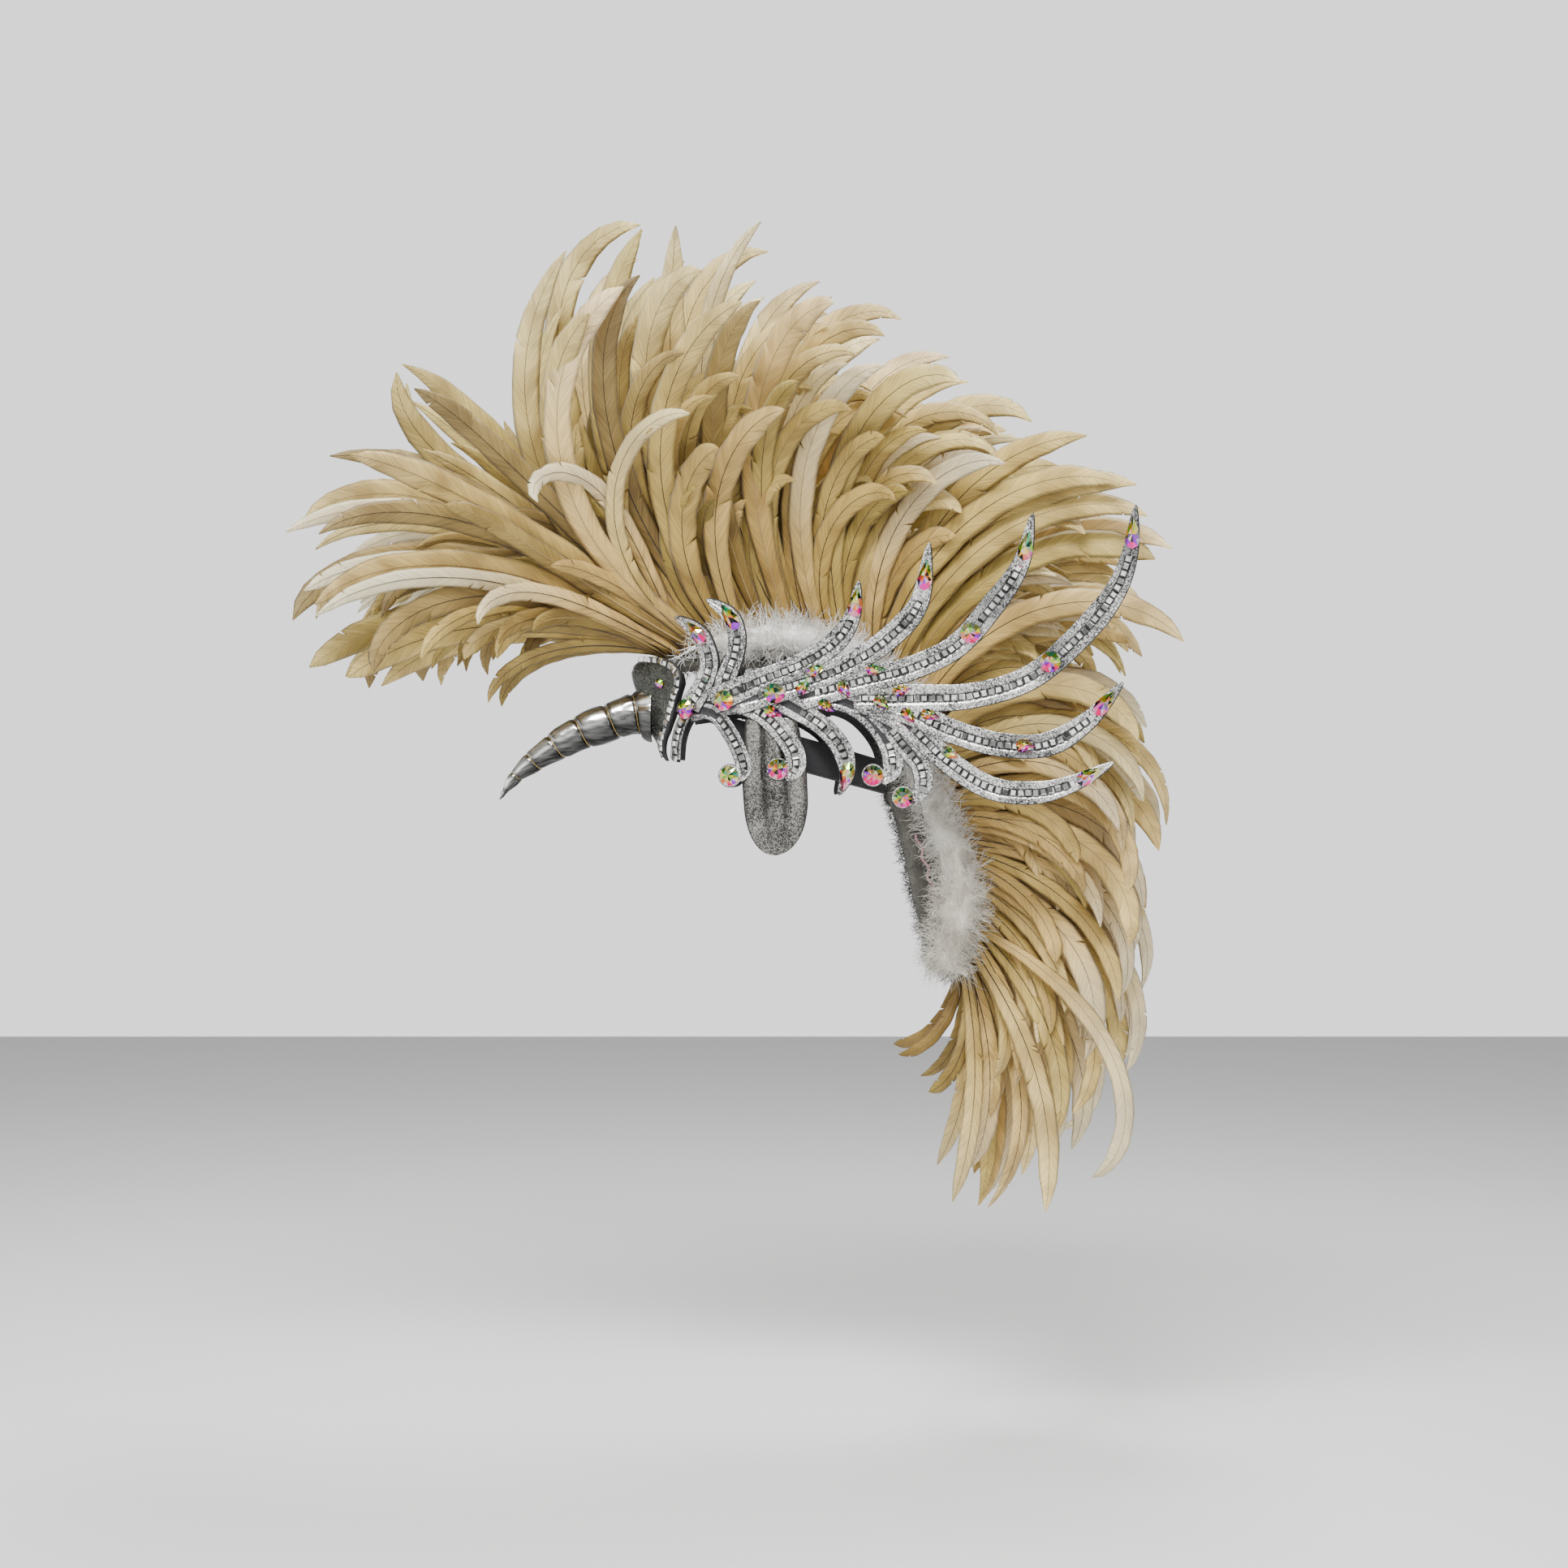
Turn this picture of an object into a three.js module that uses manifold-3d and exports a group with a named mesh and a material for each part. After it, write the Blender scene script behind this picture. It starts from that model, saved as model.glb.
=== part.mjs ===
// Carnival headdress: a crest of rooster tail feathers on a padded spine, a wound horn on a
// forehead plate, and a pair of foam scroll wings set with cut crystals.
// Millimetres, +Z up. The wearer faces -Y, and +X is the wearer's left.
// The origin is the middle of the head band's loop, where the head goes in.
import * as THREE from 'three';
import { mergeVertices } from 'three/addons/utils/BufferGeometryUtils.js';
import Module from 'manifold-3d';

const wasm = await Module();
wasm.setup();

// Clearance between pieces that touch
const GAP = 0.3;

// Head band, an elastic loop that sits higher at the front
const HEAD_LENGTH = 194;
const HEAD_WIDTH = 158;
const BAND_WIDTH = 30;
const BAND_THICKNESS = 3;
const BAND_TILT = THREE.MathUtils.degToRad(15.5);

// Padded spine that carries the crest over the head and down behind the neck
const CROWN_HEIGHT = 71;
const TAIL_REACH = 66;
const TAIL_DROP = 190;
const SPINE_WIDTH = 60;
const SPINE_THICKNESS = 12;
const TAIL_PAD = 36;

// Marabou along both edges of the spine
const MARABOU_RADIUS = 24;
const MARABOU_SPREAD = 42;

// Rooster tail feathers, sewn to tapes along the spine
const CREST_REACH = 450;
const FEATHER_WIDTH = 29;
const QUILL_HEIGHT = 2;
const TAPE_WIDTH = 20;
const TAPE_HEIGHT = 6;

// Forehead plate and its horn
const PLATE_HEIGHT = 94.5;
const PLATE_WIDTH = 90;
const PLATE_BULGE = 30;
const PLATE_THICKNESS = 3;
const HORN_LENGTH = 160;
const HORN_RADIUS = 15.5;
const HORN_PITCH = 25;
const HORN_GROOVE = 1.6;

// Foam scroll wings with a band of small square crystals along each scroll
const WING_LENGTH = 400;
const WING_SPLAY = 45;
const WING_LEAN = 0.3;
const FOAM_THICKNESS = 4;
const FOAM_STEP = 0.06;
const TRIM_WIDTH = 6.5;
const TRIM_HEIGHT = 2;
const ROUND_STONE = 18;
const STONE_HEIGHT = 4;

// Ear flaps under the wings
const FLAP_WIDTH = 57;
const FLAP_LENGTH = 122;
const FLAP_THICKNESS = 3;
const FLUTE_DEPTH = 2.2;

const HALF_LENGTH = HEAD_LENGTH / 2;
const HALF_WIDTH = HEAD_WIDTH / 2;
const FLAP_OFFSET = BAND_THICKNESS + GAP;
const WING_OFFSET = FLAP_OFFSET + FLAP_THICKNESS + FLUTE_DEPTH + 2 * GAP;
const PLATE_OFFSET = BAND_THICKNESS + GAP;

const { sin, cos, tan, sqrt, abs, max, min, hypot, round, PI } = Math;
const mix = THREE.MathUtils.lerp;

// A repeatable scatter from -1 to 1 for the n-th of a run of like things.
const scatter = (n, kind) => 2 * ((n * 0.618034 + kind * 0.377) % 1) - 1;

const materials = {
  feather: new THREE.MeshStandardMaterial({ color: 0xc9b184, roughness: 0.75, side: THREE.DoubleSide }),
  marabou: new THREE.MeshStandardMaterial({ color: 0xdcd9d4, roughness: 1 }),
  plush: new THREE.MeshStandardMaterial({ color: 0xa9a8a2, roughness: 1 }),
  glitter: new THREE.MeshStandardMaterial({ color: 0xb9babf, roughness: 0.35, metalness: 0.7 }),
  pewter: new THREE.MeshStandardMaterial({ color: 0x7c7c7c, roughness: 0.45, metalness: 0.6 }),
  silver: new THREE.MeshStandardMaterial({ color: 0xb4b4b0, roughness: 0.25, metalness: 0.9 }),
  trim: new THREE.MeshStandardMaterial({ color: 0xd8d8d8, roughness: 0.15, metalness: 0.8 }),
  elastic: new THREE.MeshStandardMaterial({ color: 0x0a0a0a, roughness: 0.9 }),
  crystal: new THREE.MeshStandardMaterial({ color: 0xb7c78c, roughness: 0.05, metalness: 0.5 }),
};

const group = new THREE.Group();
group.name = 'feathered_headdress';

function addMesh(name, geometry, material) {
  const mesh = new THREE.Mesh(geometry, material);
  mesh.name = name;
  geometry.computeVertexNormals();
  group.add(mesh);
  return mesh;
}

// The same shape on both sides: the left as made, the right mirrored.
function addPair(name, geometry, material) {
  addMesh(`${name}_left`, geometry, material);
  addMesh(`${name}_right`, geometry, material).scale.x = -1;
}

// A closed body from points and triangles, turned so that its faces point out.
function closedBody(points, index) {
  let volume = 0;
  const across = new THREE.Vector3();
  for (let i = 0; i < index.length; i += 3) {
    const [a, b, c] = [points[index[i]], points[index[i + 1]], points[index[i + 2]]];
    volume += a.dot(across.crossVectors(b, c));
  }
  if (volume < 0) index.reverse();
  const geometry = new THREE.BufferGeometry().setFromPoints(points);
  geometry.setIndex(index);
  return geometry;
}

// A body through rings of points, with both ends capped, or joined into a loop.
function loft(rings, isLoop = false) {
  const sides = rings[0].length;
  const index = [];
  const spans = isLoop ? rings.length : rings.length - 1;
  for (let i = 0; i < spans; i++) {
    const here = i * sides;
    const next = ((i + 1) % rings.length) * sides;
    for (let j = 0; j < sides; j++) {
      const k = (j + 1) % sides;
      index.push(here + j, here + k, next + k, here + j, next + k, next + j);
    }
  }
  if (!isLoop) {
    const last = (rings.length - 1) * sides;
    for (let j = 1; j < sides - 1; j++) {
      index.push(0, j + 1, j, last, last + j, last + j + 1);
    }
  }
  return closedBody(rings.flat(), index);
}

// A wall between an outer and an inner grid of points, rows by columns.
function wall(outer, inner) {
  const rows = outer.length;
  const columns = outer[0].length;
  const back = rows * columns;
  const at = (row, column) => row * columns + column;
  const index = [];
  const quad = (a, b, c, d) => index.push(a, b, c, a, c, d);
  for (let r = 0; r < rows - 1; r++) {
    for (let c = 0; c < columns - 1; c++) {
      quad(at(r, c), at(r, c + 1), at(r + 1, c + 1), at(r + 1, c));
      quad(back + at(r, c), back + at(r + 1, c), back + at(r + 1, c + 1), back + at(r, c + 1));
    }
  }
  const rim = [];
  for (let c = 0; c < columns - 1; c++) rim.push(at(0, c));
  for (let r = 0; r < rows - 1; r++) rim.push(at(r, columns - 1));
  for (let c = columns - 1; c > 0; c--) rim.push(at(rows - 1, c));
  for (let r = rows - 1; r > 0; r--) rim.push(at(r, 0));
  rim.forEach((a, i) => {
    const b = rim[(i + 1) % rim.length];
    quad(b, a, back + a, back + b);
  });
  return closedBody([...outer.flat(), ...inner.flat()], index);
}

function toSolid(geometry) {
  const bare = geometry.clone();
  bare.deleteAttribute('normal');
  bare.deleteAttribute('uv');
  const merged = mergeVertices(bare, 1e-4);
  return new wasm.Manifold(new wasm.Mesh({
    numProp: 3,
    vertProperties: merged.attributes.position.array,
    triVerts: new Uint32Array(merged.index.array),
  }));
}

function toGeometry(solid) {
  const mesh = solid.getMesh();
  const geometry = new THREE.BufferGeometry();
  geometry.setAttribute('position', new THREE.BufferAttribute(mesh.vertProperties, 3));
  geometry.setIndex(new THREE.BufferAttribute(mesh.triVerts, 1));
  return geometry;
}

const joined = (geometries) => geometries.map(toSolid).reduce((all, one) => all.add(one));

// Half the head's width at depth y, a stated distance outside the head.
function sideOf(y, offset) {
  const share = y / (HALF_LENGTH + offset);
  return (HALF_WIDTH + offset) * sqrt(max(0, 1 - share * share));
}

// Head band

const bandRise = (y) => -tan(BAND_TILT) * y;

function headBand() {
  const STEPS = 32;
  const rings = [];
  for (let i = 0; i < STEPS; i++) {
    const turn = (2 * PI * i) / STEPS;
    const corner = (offset, up) => {
      const y = (HALF_LENGTH + offset) * sin(turn);
      const rise = bandRise(y) + (up * BAND_WIDTH) / 2;
      return new THREE.Vector3((HALF_WIDTH + offset) * cos(turn), y, rise);
    };
    const outside = BAND_THICKNESS;
    rings.push([corner(0, -1), corner(outside, -1), corner(outside, 1), corner(0, 1)]);
  }
  return loft(rings, true);
}
addMesh('head_band', headBand(), materials.elastic);

// Spine. Its inner face follows the head, then touches the band and hangs behind the neck.

// Shares of half the head's length and of the crown's height
const crownPath = [
  { back: -1.06, up: 0.945 },
  { back: -0.85, up: 0.98 },
  { back: -0.48, up: 1.02 },
  { back: 0.0, up: 1.02 },
  { back: 0.42, up: 0.94 },
  { back: 0.75, up: 0.68 },
  { back: 0.97, up: 0.3 },
];
// Shares of the tail's reach and drop, counted from where the spine passes the band
const tailPath = [
  { back: 0.1, down: 0.19 },
  { back: 0.25, down: 0.39 },
  { back: 0.42, down: 0.66 },
  { back: 0.66, down: 0.89 },
  { back: 0.92, down: 0.99 },
];
const bandBack = HALF_LENGTH + BAND_THICKNESS + GAP;
const innerFace = new THREE.CatmullRomCurve3([
  ...crownPath.map((p) => new THREE.Vector3(0, p.back * HALF_LENGTH, p.up * CROWN_HEIGHT)),
  new THREE.Vector3(0, bandBack + GAP, bandRise(HALF_LENGTH) + BAND_WIDTH / 2),
  new THREE.Vector3(0, bandBack + GAP, bandRise(HALF_LENGTH) - BAND_WIDTH / 2),
  ...tailPath.map((p) => new THREE.Vector3(
    0,
    bandBack + p.back * TAIL_REACH,
    bandRise(HALF_LENGTH) - p.down * TAIL_DROP,
  )),
], false, 'centripetal');
innerFace.arcLengthDivisions = 600;

// A value read from a table of { at, ... } rows along the spine, eased between rows.
function along(table, share, column) {
  const next = table.findIndex((row) => row.at >= share);
  if (next <= 0) return table[next < 0 ? table.length - 1 : 0][column];
  const [a, b] = [table[next - 1], table[next]];
  const t = (share - a.at) / (b.at - a.at);
  return mix(a[column], b[column], t * t * (3 - 2 * t));
}

// Width and padding as shares of the spine's width and the tail's padding
const spineSections = [
  { at: 0.0, width: 0.5, pad: 0.0 },
  { at: 0.14, width: 0.85, pad: 0.0 },
  { at: 0.3, width: 1.0, pad: 0.0 },
  { at: 0.52, width: 1.0, pad: 0.1 },
  { at: 0.68, width: 1.0, pad: 0.7 },
  { at: 0.82, width: 1.0, pad: 1.0 },
  { at: 1.0, width: 0.62, pad: 0.35 },
];

// The spine's frame at a share of its length: inner and outer points, outward normal, half width.
function spineAt(share) {
  const inner = innerFace.getPointAt(share);
  const tangent = innerFace.getTangentAt(share);
  const normal = new THREE.Vector3(0, -tangent.z, tangent.y);
  const thickness = mix(SPINE_THICKNESS, TAIL_PAD, along(spineSections, share, 'pad'));
  const outer = inner.clone().addScaledVector(normal, thickness);
  const halfWidth = (along(spineSections, share, 'width') * SPINE_WIDTH) / 2;
  return { inner, outer, normal, tangent, thickness, halfWidth };
}

function spineBody(grow) {
  const STEPS = 20;
  const CHAMFER = 5;
  const rings = [];
  for (let i = 0; i <= STEPS; i++) {
    const at = spineAt(i / STEPS);
    const point = (x, rise) => at.inner.clone().addScaledVector(at.normal, rise).setX(x);
    const half = at.halfWidth + grow;
    const top = at.thickness + grow;
    const bottom = -grow;
    rings.push([
      point(-half + CHAMFER, bottom), point(half - CHAMFER, bottom),
      point(half, bottom + CHAMFER), point(half, top - CHAMFER),
      point(half - CHAMFER, top), point(-half + CHAMFER, top),
      point(-half, top - CHAMFER), point(-half, bottom + CHAMFER),
    ]);
  }
  return loft(rings);
}
addMesh('crest_spine', spineBody(0), materials.plush);

// Marabou. Its radius and place are shares of the named radius and spread.
const marabouSections = [
  { at: 0.075, radius: 0.55, spread: 0.66, lift: 0.8 },
  { at: 0.15, radius: 0.88, spread: 0.9, lift: 0.62 },
  { at: 0.25, radius: 1.0, spread: 1.0, lift: 0.62 },
  { at: 0.55, radius: 1.0, spread: 1.0, lift: 0.5 },
  { at: 0.8, radius: 1.08, spread: 1.0, lift: 0.45 },
  { at: 0.99, radius: 0.7, spread: 0.72, lift: 0.3 },
];

function marabou() {
  const STEPS = 16;
  const SIDES = 7;
  const TUFT = 0.09;
  const rings = [];
  for (let i = 0; i <= STEPS; i++) {
    const share = mix(marabouSections[0].at, marabouSections.at(-1).at, i / STEPS);
    const at = spineAt(share);
    const radius = along(marabouSections, share, 'radius') * MARABOU_RADIUS;
    const centre = at.outer.clone()
      .addScaledVector(at.normal, along(marabouSections, share, 'lift') * radius)
      .setX(along(marabouSections, share, 'spread') * MARABOU_SPREAD);
    const end = i === 0 || i === STEPS ? 0.45 : 1;
    rings.push(Array.from({ length: SIDES }, (_, j) => {
      const turn = (2 * PI * (j + 0.5 * (i % 2))) / SIDES;
      const reach = radius * end * (1 + TUFT * scatter(i * SIDES + j, 3));
      return centre.clone()
        .addScaledVector(at.normal, reach * sin(turn))
        .add(new THREE.Vector3(reach * cos(turn), 0, 0));
    }));
  }
  return toGeometry(toSolid(loft(rings)).subtract(toSolid(spineBody(GAP))));
}
addPair('marabou', marabou(), materials.marabou);

// Feather crest. Each row is one step along the spine. A feather in its middle ends at the stated
// place, in shares of the crest's reach from the band's centre: back and up. The bend is how far
// it turns from root to tip, in degrees seen from the wearer's left. The feathers beside it lean
// out by the splay, and by the flare as well towards their tips.
const crestRows = [
  { at: 0.01, back: -0.88, up: 0.14, bend: 80, splay: 16, flare: 26 },
  { at: 0.032, back: -1.01, up: 0.27, bend: 64, splay: 16, flare: 26 },
  { at: 0.054, back: -1.0, up: 0.45, bend: 46, splay: 16, flare: 26 },
  { at: 0.076, back: -0.93, up: 0.62, bend: 16, splay: 16, flare: 28 },
  { at: 0.098, back: -0.79, up: 0.78, bend: -12, splay: 15, flare: 32 },
  { at: 0.12, back: -0.43, up: 0.94, bend: -94, splay: 15, flare: 38 },
  { at: 0.145, back: -0.29, up: 1.05, bend: -72, splay: 15, flare: 44 },
  { at: 0.18, back: -0.18, up: 1.03, bend: -52, splay: 15, flare: 48 },
  { at: 0.22, back: -0.03, up: 1.0, bend: -60, splay: 15, flare: 48 },
  { at: 0.265, back: 0.1, up: 0.94, bend: -68, splay: 15, flare: 44 },
  { at: 0.31, back: 0.24, up: 0.87, bend: -78, splay: 15, flare: 40 },
  { at: 0.355, back: 0.37, up: 0.79, bend: -84, splay: 14, flare: 34 },
  { at: 0.405, back: 0.51, up: 0.67, bend: -92, splay: 14, flare: 26 },
  { at: 0.455, back: 0.66, up: 0.48, bend: -98, splay: 13, flare: 18 },
  { at: 0.51, back: 0.76, up: 0.26, bend: -104, splay: 12, flare: 14 },
  { at: 0.565, back: 0.79, up: 0.03, bend: -110, splay: 12, flare: 10 },
  { at: 0.625, back: 0.78, up: -0.2, bend: -108, splay: 12, flare: 10 },
  { at: 0.69, back: 0.76, up: -0.43, bend: -100, splay: 12, flare: 12 },
  { at: 0.77, back: 0.7, up: -0.67, bend: -88, splay: 12, flare: 12 },
  { at: 0.86, back: 0.58, up: -0.84, bend: -66, splay: 12, flare: 12 },
  { at: 0.95, back: 0.41, up: -0.94, bend: -44, splay: 12, flare: 12 },
];
// The feathers side by side in a row: their lean, and their reach as a share of the middle one's
const lanes = [
  { out: -1, reach: 0.84 },
  { out: -0.35, reach: 0.97 },
  { out: 0.35, reach: 0.97 },
  { out: 1, reach: 0.84 },
];
const crestSections = [
  { name: 'feathers_front', from: 0.0, to: 0.128, rows: [0, 6] },
  { name: 'feathers_crown', from: 0.13, to: 0.242, rows: [6, 9] },
  { name: 'feathers_rear', from: 0.244, to: 0.43, rows: [9, 13] },
  { name: 'feathers_back', from: 0.432, to: 0.595, rows: [13, 16] },
  { name: 'feathers_tail', from: 0.597, to: 0.99, rows: [16, 21] },
];

// Vane width along a feather, from the bare quill to the rounded tip, as a share of its widest.
function vaneShare(share) {
  const grown = 0.24 + 0.76 * sin((PI / 2) * min(1, share / 0.55));
  const tip = share < 0.8 ? 1 : sqrt(max(0.02, 1 - ((share - 0.8) / 0.2) ** 2));
  return grown * tip;
}

function feather(root, plan) {
  const SHARES = [0, 0.17, 0.38, 0.61, 0.82, 0.955, 1];
  const FINE = 5;
  const CUP = 0.16;
  const here = root.clone();
  const rings = [];
  SHARES.forEach((share, i) => {
    const before = i ? SHARES[i - 1] : 0;
    for (let f = 0; i && f < FINE; f++) {
      const middle = mix(before, share, (f + 0.5) / FINE);
      here.addScaledVector(feather.tangent(plan, middle), ((share - before) / FINE) * plan.length);
    }
    const tangent = feather.tangent(plan, share);
    const flat = feather.side(plan, share);
    const across = new THREE.Vector3().crossVectors(flat, tangent);
    across.applyAxisAngle(tangent, plan.roll);
    flat.applyAxisAngle(tangent, plan.roll);
    const half = (vaneShare(share) * plan.width) / 2;
    const ridge = QUILL_HEIGHT * mix(1, 0.35, share);
    rings.push([
      here.clone().addScaledVector(across, -half).addScaledVector(flat, -half * CUP),
      here.clone().addScaledVector(across, half).addScaledVector(flat, -half * CUP),
      here.clone().addScaledVector(flat, ridge),
    ]);
  });
  return loft(rings);
}
feather.heading = (plan, share) => plan.heading + plan.bend * share ** 1.4;
feather.lean = (plan, share) => plan.splay + plan.flare * share ** 2;
feather.tangent = (plan, share) => {
  const heading = feather.heading(plan, share);
  const lean = feather.lean(plan, share);
  return new THREE.Vector3(sin(lean), cos(lean) * cos(heading), cos(lean) * sin(heading));
};
feather.side = (plan, share) => {
  const heading = feather.heading(plan, share);
  const lean = feather.lean(plan, share);
  return new THREE.Vector3(cos(lean), -sin(lean) * cos(heading), -sin(lean) * sin(heading));
};

function tape(from, to) {
  const STEPS = 5;
  const rings = [];
  for (let i = 0; i <= STEPS; i++) {
    const at = spineAt(mix(from, to, i / STEPS));
    const half = min(TAPE_WIDTH / 2, at.halfWidth - GAP);
    const point = (x, rise) => at.outer.clone().addScaledVector(at.normal, rise).setX(x);
    rings.push([
      point(-half, 2 * GAP), point(half, 2 * GAP), point(half, TAPE_HEIGHT), point(-half, TAPE_HEIGHT),
    ]);
  }
  return loft(rings);
}

// Turns and scales a feather's plan so that, seen from the side, it ends at the stated place.
function aim(plan, root, tip) {
  const STEPS = 24;
  const unit = new THREE.Vector3();
  for (let i = 0; i < STEPS; i++) {
    unit.addScaledVector(feather.tangent({ ...plan, heading: 0 }, (i + 0.5) / STEPS), 1 / STEPS);
  }
  const heading = Math.atan2(tip.z - root.z, tip.y - root.y) - Math.atan2(unit.z, unit.y);
  const length = hypot(tip.z - root.z, tip.y - root.y) / hypot(unit.z, unit.y);
  return { ...plan, heading, length };
}

function crestFeather(rowNumber, laneNumber) {
  const SHINGLE = 14;
  const row = crestRows[rowNumber];
  const lane = lanes[laneNumber];
  const n = rowNumber * lanes.length + laneNumber;
  const radians = THREE.MathUtils.degToRad;
  const at = spineAt(row.at + 0.006 * scatter(n, 1));
  const root = at.outer.clone().addScaledVector(at.normal, TAPE_HEIGHT * 0.6);
  root.x = (lane.out * TAPE_WIDTH * 0.62) / 2;
  const tip = new THREE.Vector3(
    0,
    (row.back + 0.025 * scatter(n, 2)) * CREST_REACH,
    (row.up + 0.025 * scatter(n, 4)) * CREST_REACH,
  );
  tip.lerpVectors(root, tip, lane.reach * (1 - 0.02 * (1 + scatter(n, 6))));
  const plan = {
    bend: radians(row.bend + 9 * scatter(n, 3)),
    splay: radians(row.splay * lane.out),
    flare: radians(row.flare * lane.out * (1 + 0.3 * scatter(n, 5))),
    width: FEATHER_WIDTH * (1 + 0.1 * scatter(n, 7)),
    roll: radians(-SHINGLE),
  };
  return feather(root, aim(plan, root, tip));
}

for (const section of crestSections) {
  const pieces = [tape(section.from, section.to)];
  for (let row = section.rows[0]; row < section.rows[1]; row++) {
    for (let lane = 0; lane < lanes.length; lane++) pieces.push(crestFeather(row, lane));
  }
  const sewn = joined(pieces).simplify(GAP).subtract(toSolid(spineBody(GAP)));
  addMesh(section.name, toGeometry(sewn), materials.feather);
}

// Forehead plate, a shield that wraps the brow and bulges forward towards its top

// Half width and bulge as shares of the plate's, up its height from the bottom point
const plateOutline = [
  { at: 0.0, half: 0.08, bulge: -0.08 },
  { at: 0.127, half: 0.36, bulge: 0.13 },
  { at: 0.286, half: 0.6, bulge: 0.4 },
  { at: 0.444, half: 0.75, bulge: 0.6 },
  { at: 0.603, half: 0.87, bulge: 0.75 },
  { at: 0.762, half: 1.0, bulge: 0.93 },
  { at: 0.847, half: 0.96, bulge: 0.98 },
  { at: 0.921, half: 0.8, bulge: 0.9 },
  { at: 0.98, half: 0.58, bulge: 0.68 },
  { at: 1.0, half: 0.36, bulge: 0.56 },
];
const PLATE_BOTTOM = -12;

// A point on the plate: up from 0 to 1, across as a share of its greatest half width.
function platePoint(up, across, rise) {
  const wide = HALF_WIDTH + PLATE_OFFSET;
  const edge = Math.asin(PLATE_WIDTH / 2 / wide);
  const turn = Math.asin((across * PLATE_WIDTH) / 2 / wide);
  const inward = min(1, abs(turn) / (0.8 * edge));
  const bulge = PLATE_BULGE * along(plateOutline, up, 'bulge') * cos((PI / 2) * inward) ** 2;
  return new THREE.Vector3(
    (wide + rise) * sin(turn),
    -(HALF_LENGTH + PLATE_OFFSET + rise) * cos(turn) - bulge,
    PLATE_BOTTOM + up * PLATE_HEIGHT,
  );
}

function plateGrid(rise) {
  const COLUMNS = 9;
  return plateOutline.map((row) => Array.from(
    { length: COLUMNS },
    (_, c) => platePoint(row.at, row.half * mix(-1, 1, c / (COLUMNS - 1)), rise),
  ));
}
addMesh('forehead_plate', wall(plateGrid(PLATE_THICKNESS), plateGrid(0)), materials.pewter);

// A raised band of square crystals that follows the plate's edge, drawn in towards its middle
function plateTrim() {
  const MIDDLE = 0.6;
  const OUTSIDE = 0.96;
  const INSIDE = 0.96 - (2 * TRIM_WIDTH) / PLATE_WIDTH;
  const high = PLATE_THICKNESS + 1.6 * TRIM_HEIGHT;
  const edge = [
    ...plateOutline.map((row) => ({ up: row.at, across: row.half })),
    ...plateOutline.map((row) => ({ up: row.at, across: -row.half })).reverse(),
  ];
  const rings = edge.map(({ up, across }) => {
    const corner = (share, rise) => platePoint(mix(MIDDLE, up, share), across * share, rise);
    return [
      corner(OUTSIDE, PLATE_THICKNESS / 2), corner(OUTSIDE, high),
      corner(INSIDE, high), corner(INSIDE, PLATE_THICKNESS / 2),
    ];
  });
  const grown = wall(plateGrid(PLATE_THICKNESS + GAP), plateGrid(-PLATE_THICKNESS));
  const bodies = toSolid(loft(rings, true)).subtract(toSolid(grown)).decompose();
  return toGeometry(bodies.sort((a, b) => b.volume() - a.volume())[0]);
}
addMesh('plate_trim', plateTrim(), materials.trim);

// Horn, a wound tapering form that leaves the plate level and curves down to its tip

// Shares of the horn's length, counted from its seat on the plate
const hornPath = [
  { out: -0.05, down: 0.0 },
  { out: 0.04, down: 0.0 },
  { out: 0.19, down: 0.05 },
  { out: 0.355, down: 0.11 },
  { out: 0.5, down: 0.19 },
  { out: 0.62, down: 0.27 },
  { out: 0.725, down: 0.36 },
  { out: 0.82, down: 0.49 },
];
const hornSections = [
  { at: 0.0, radius: 1.18 },
  { at: 0.1, radius: 1.0 },
  { at: 0.3, radius: 1.0 },
  { at: 0.5, radius: 0.84 },
  { at: 0.7, radius: 0.6 },
  { at: 0.86, radius: 0.35 },
  { at: 0.97, radius: 0.12 },
  { at: 1.0, radius: 0.05 },
];
const HORN_SEAT = 0.46;

function horn() {
  const STEPS = 30;
  const SIDES = 10;
  const seat = platePoint(HORN_SEAT, 0, PLATE_THICKNESS);
  const path = new THREE.CatmullRomCurve3(hornPath.map((p) => new THREE.Vector3(
    0,
    seat.y - p.out * HORN_LENGTH,
    seat.z - p.down * HORN_LENGTH,
  )), false, 'centripetal');
  const rings = [];
  for (let i = 0; i <= STEPS; i++) {
    const share = i / STEPS;
    const centre = path.getPointAt(share);
    const tangent = path.getTangentAt(share);
    const up = new THREE.Vector3(0, tangent.z, -tangent.y);
    const radius = along(hornSections, share, 'radius') * HORN_RADIUS;
    rings.push(Array.from({ length: SIDES }, (_, j) => {
      const turn = (2 * PI * j) / SIDES;
      const wound = (share * HORN_LENGTH) / HORN_PITCH + j / SIDES;
      const groove = max(0, cos(2 * PI * wound)) ** 3 * HORN_GROOVE * (radius / HORN_RADIUS);
      const reach = radius - groove;
      return centre.clone().addScaledVector(up, reach * cos(turn)).setX(reach * sin(turn));
    }));
  }
  const cutter = wall(plateGrid(PLATE_THICKNESS + GAP), plateGrid(-10 * PLATE_THICKNESS));
  return toGeometry(toSolid(loft(rings)).subtract(toSolid(cutter)));
}
addMesh('horn', horn(), materials.silver);

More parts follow.
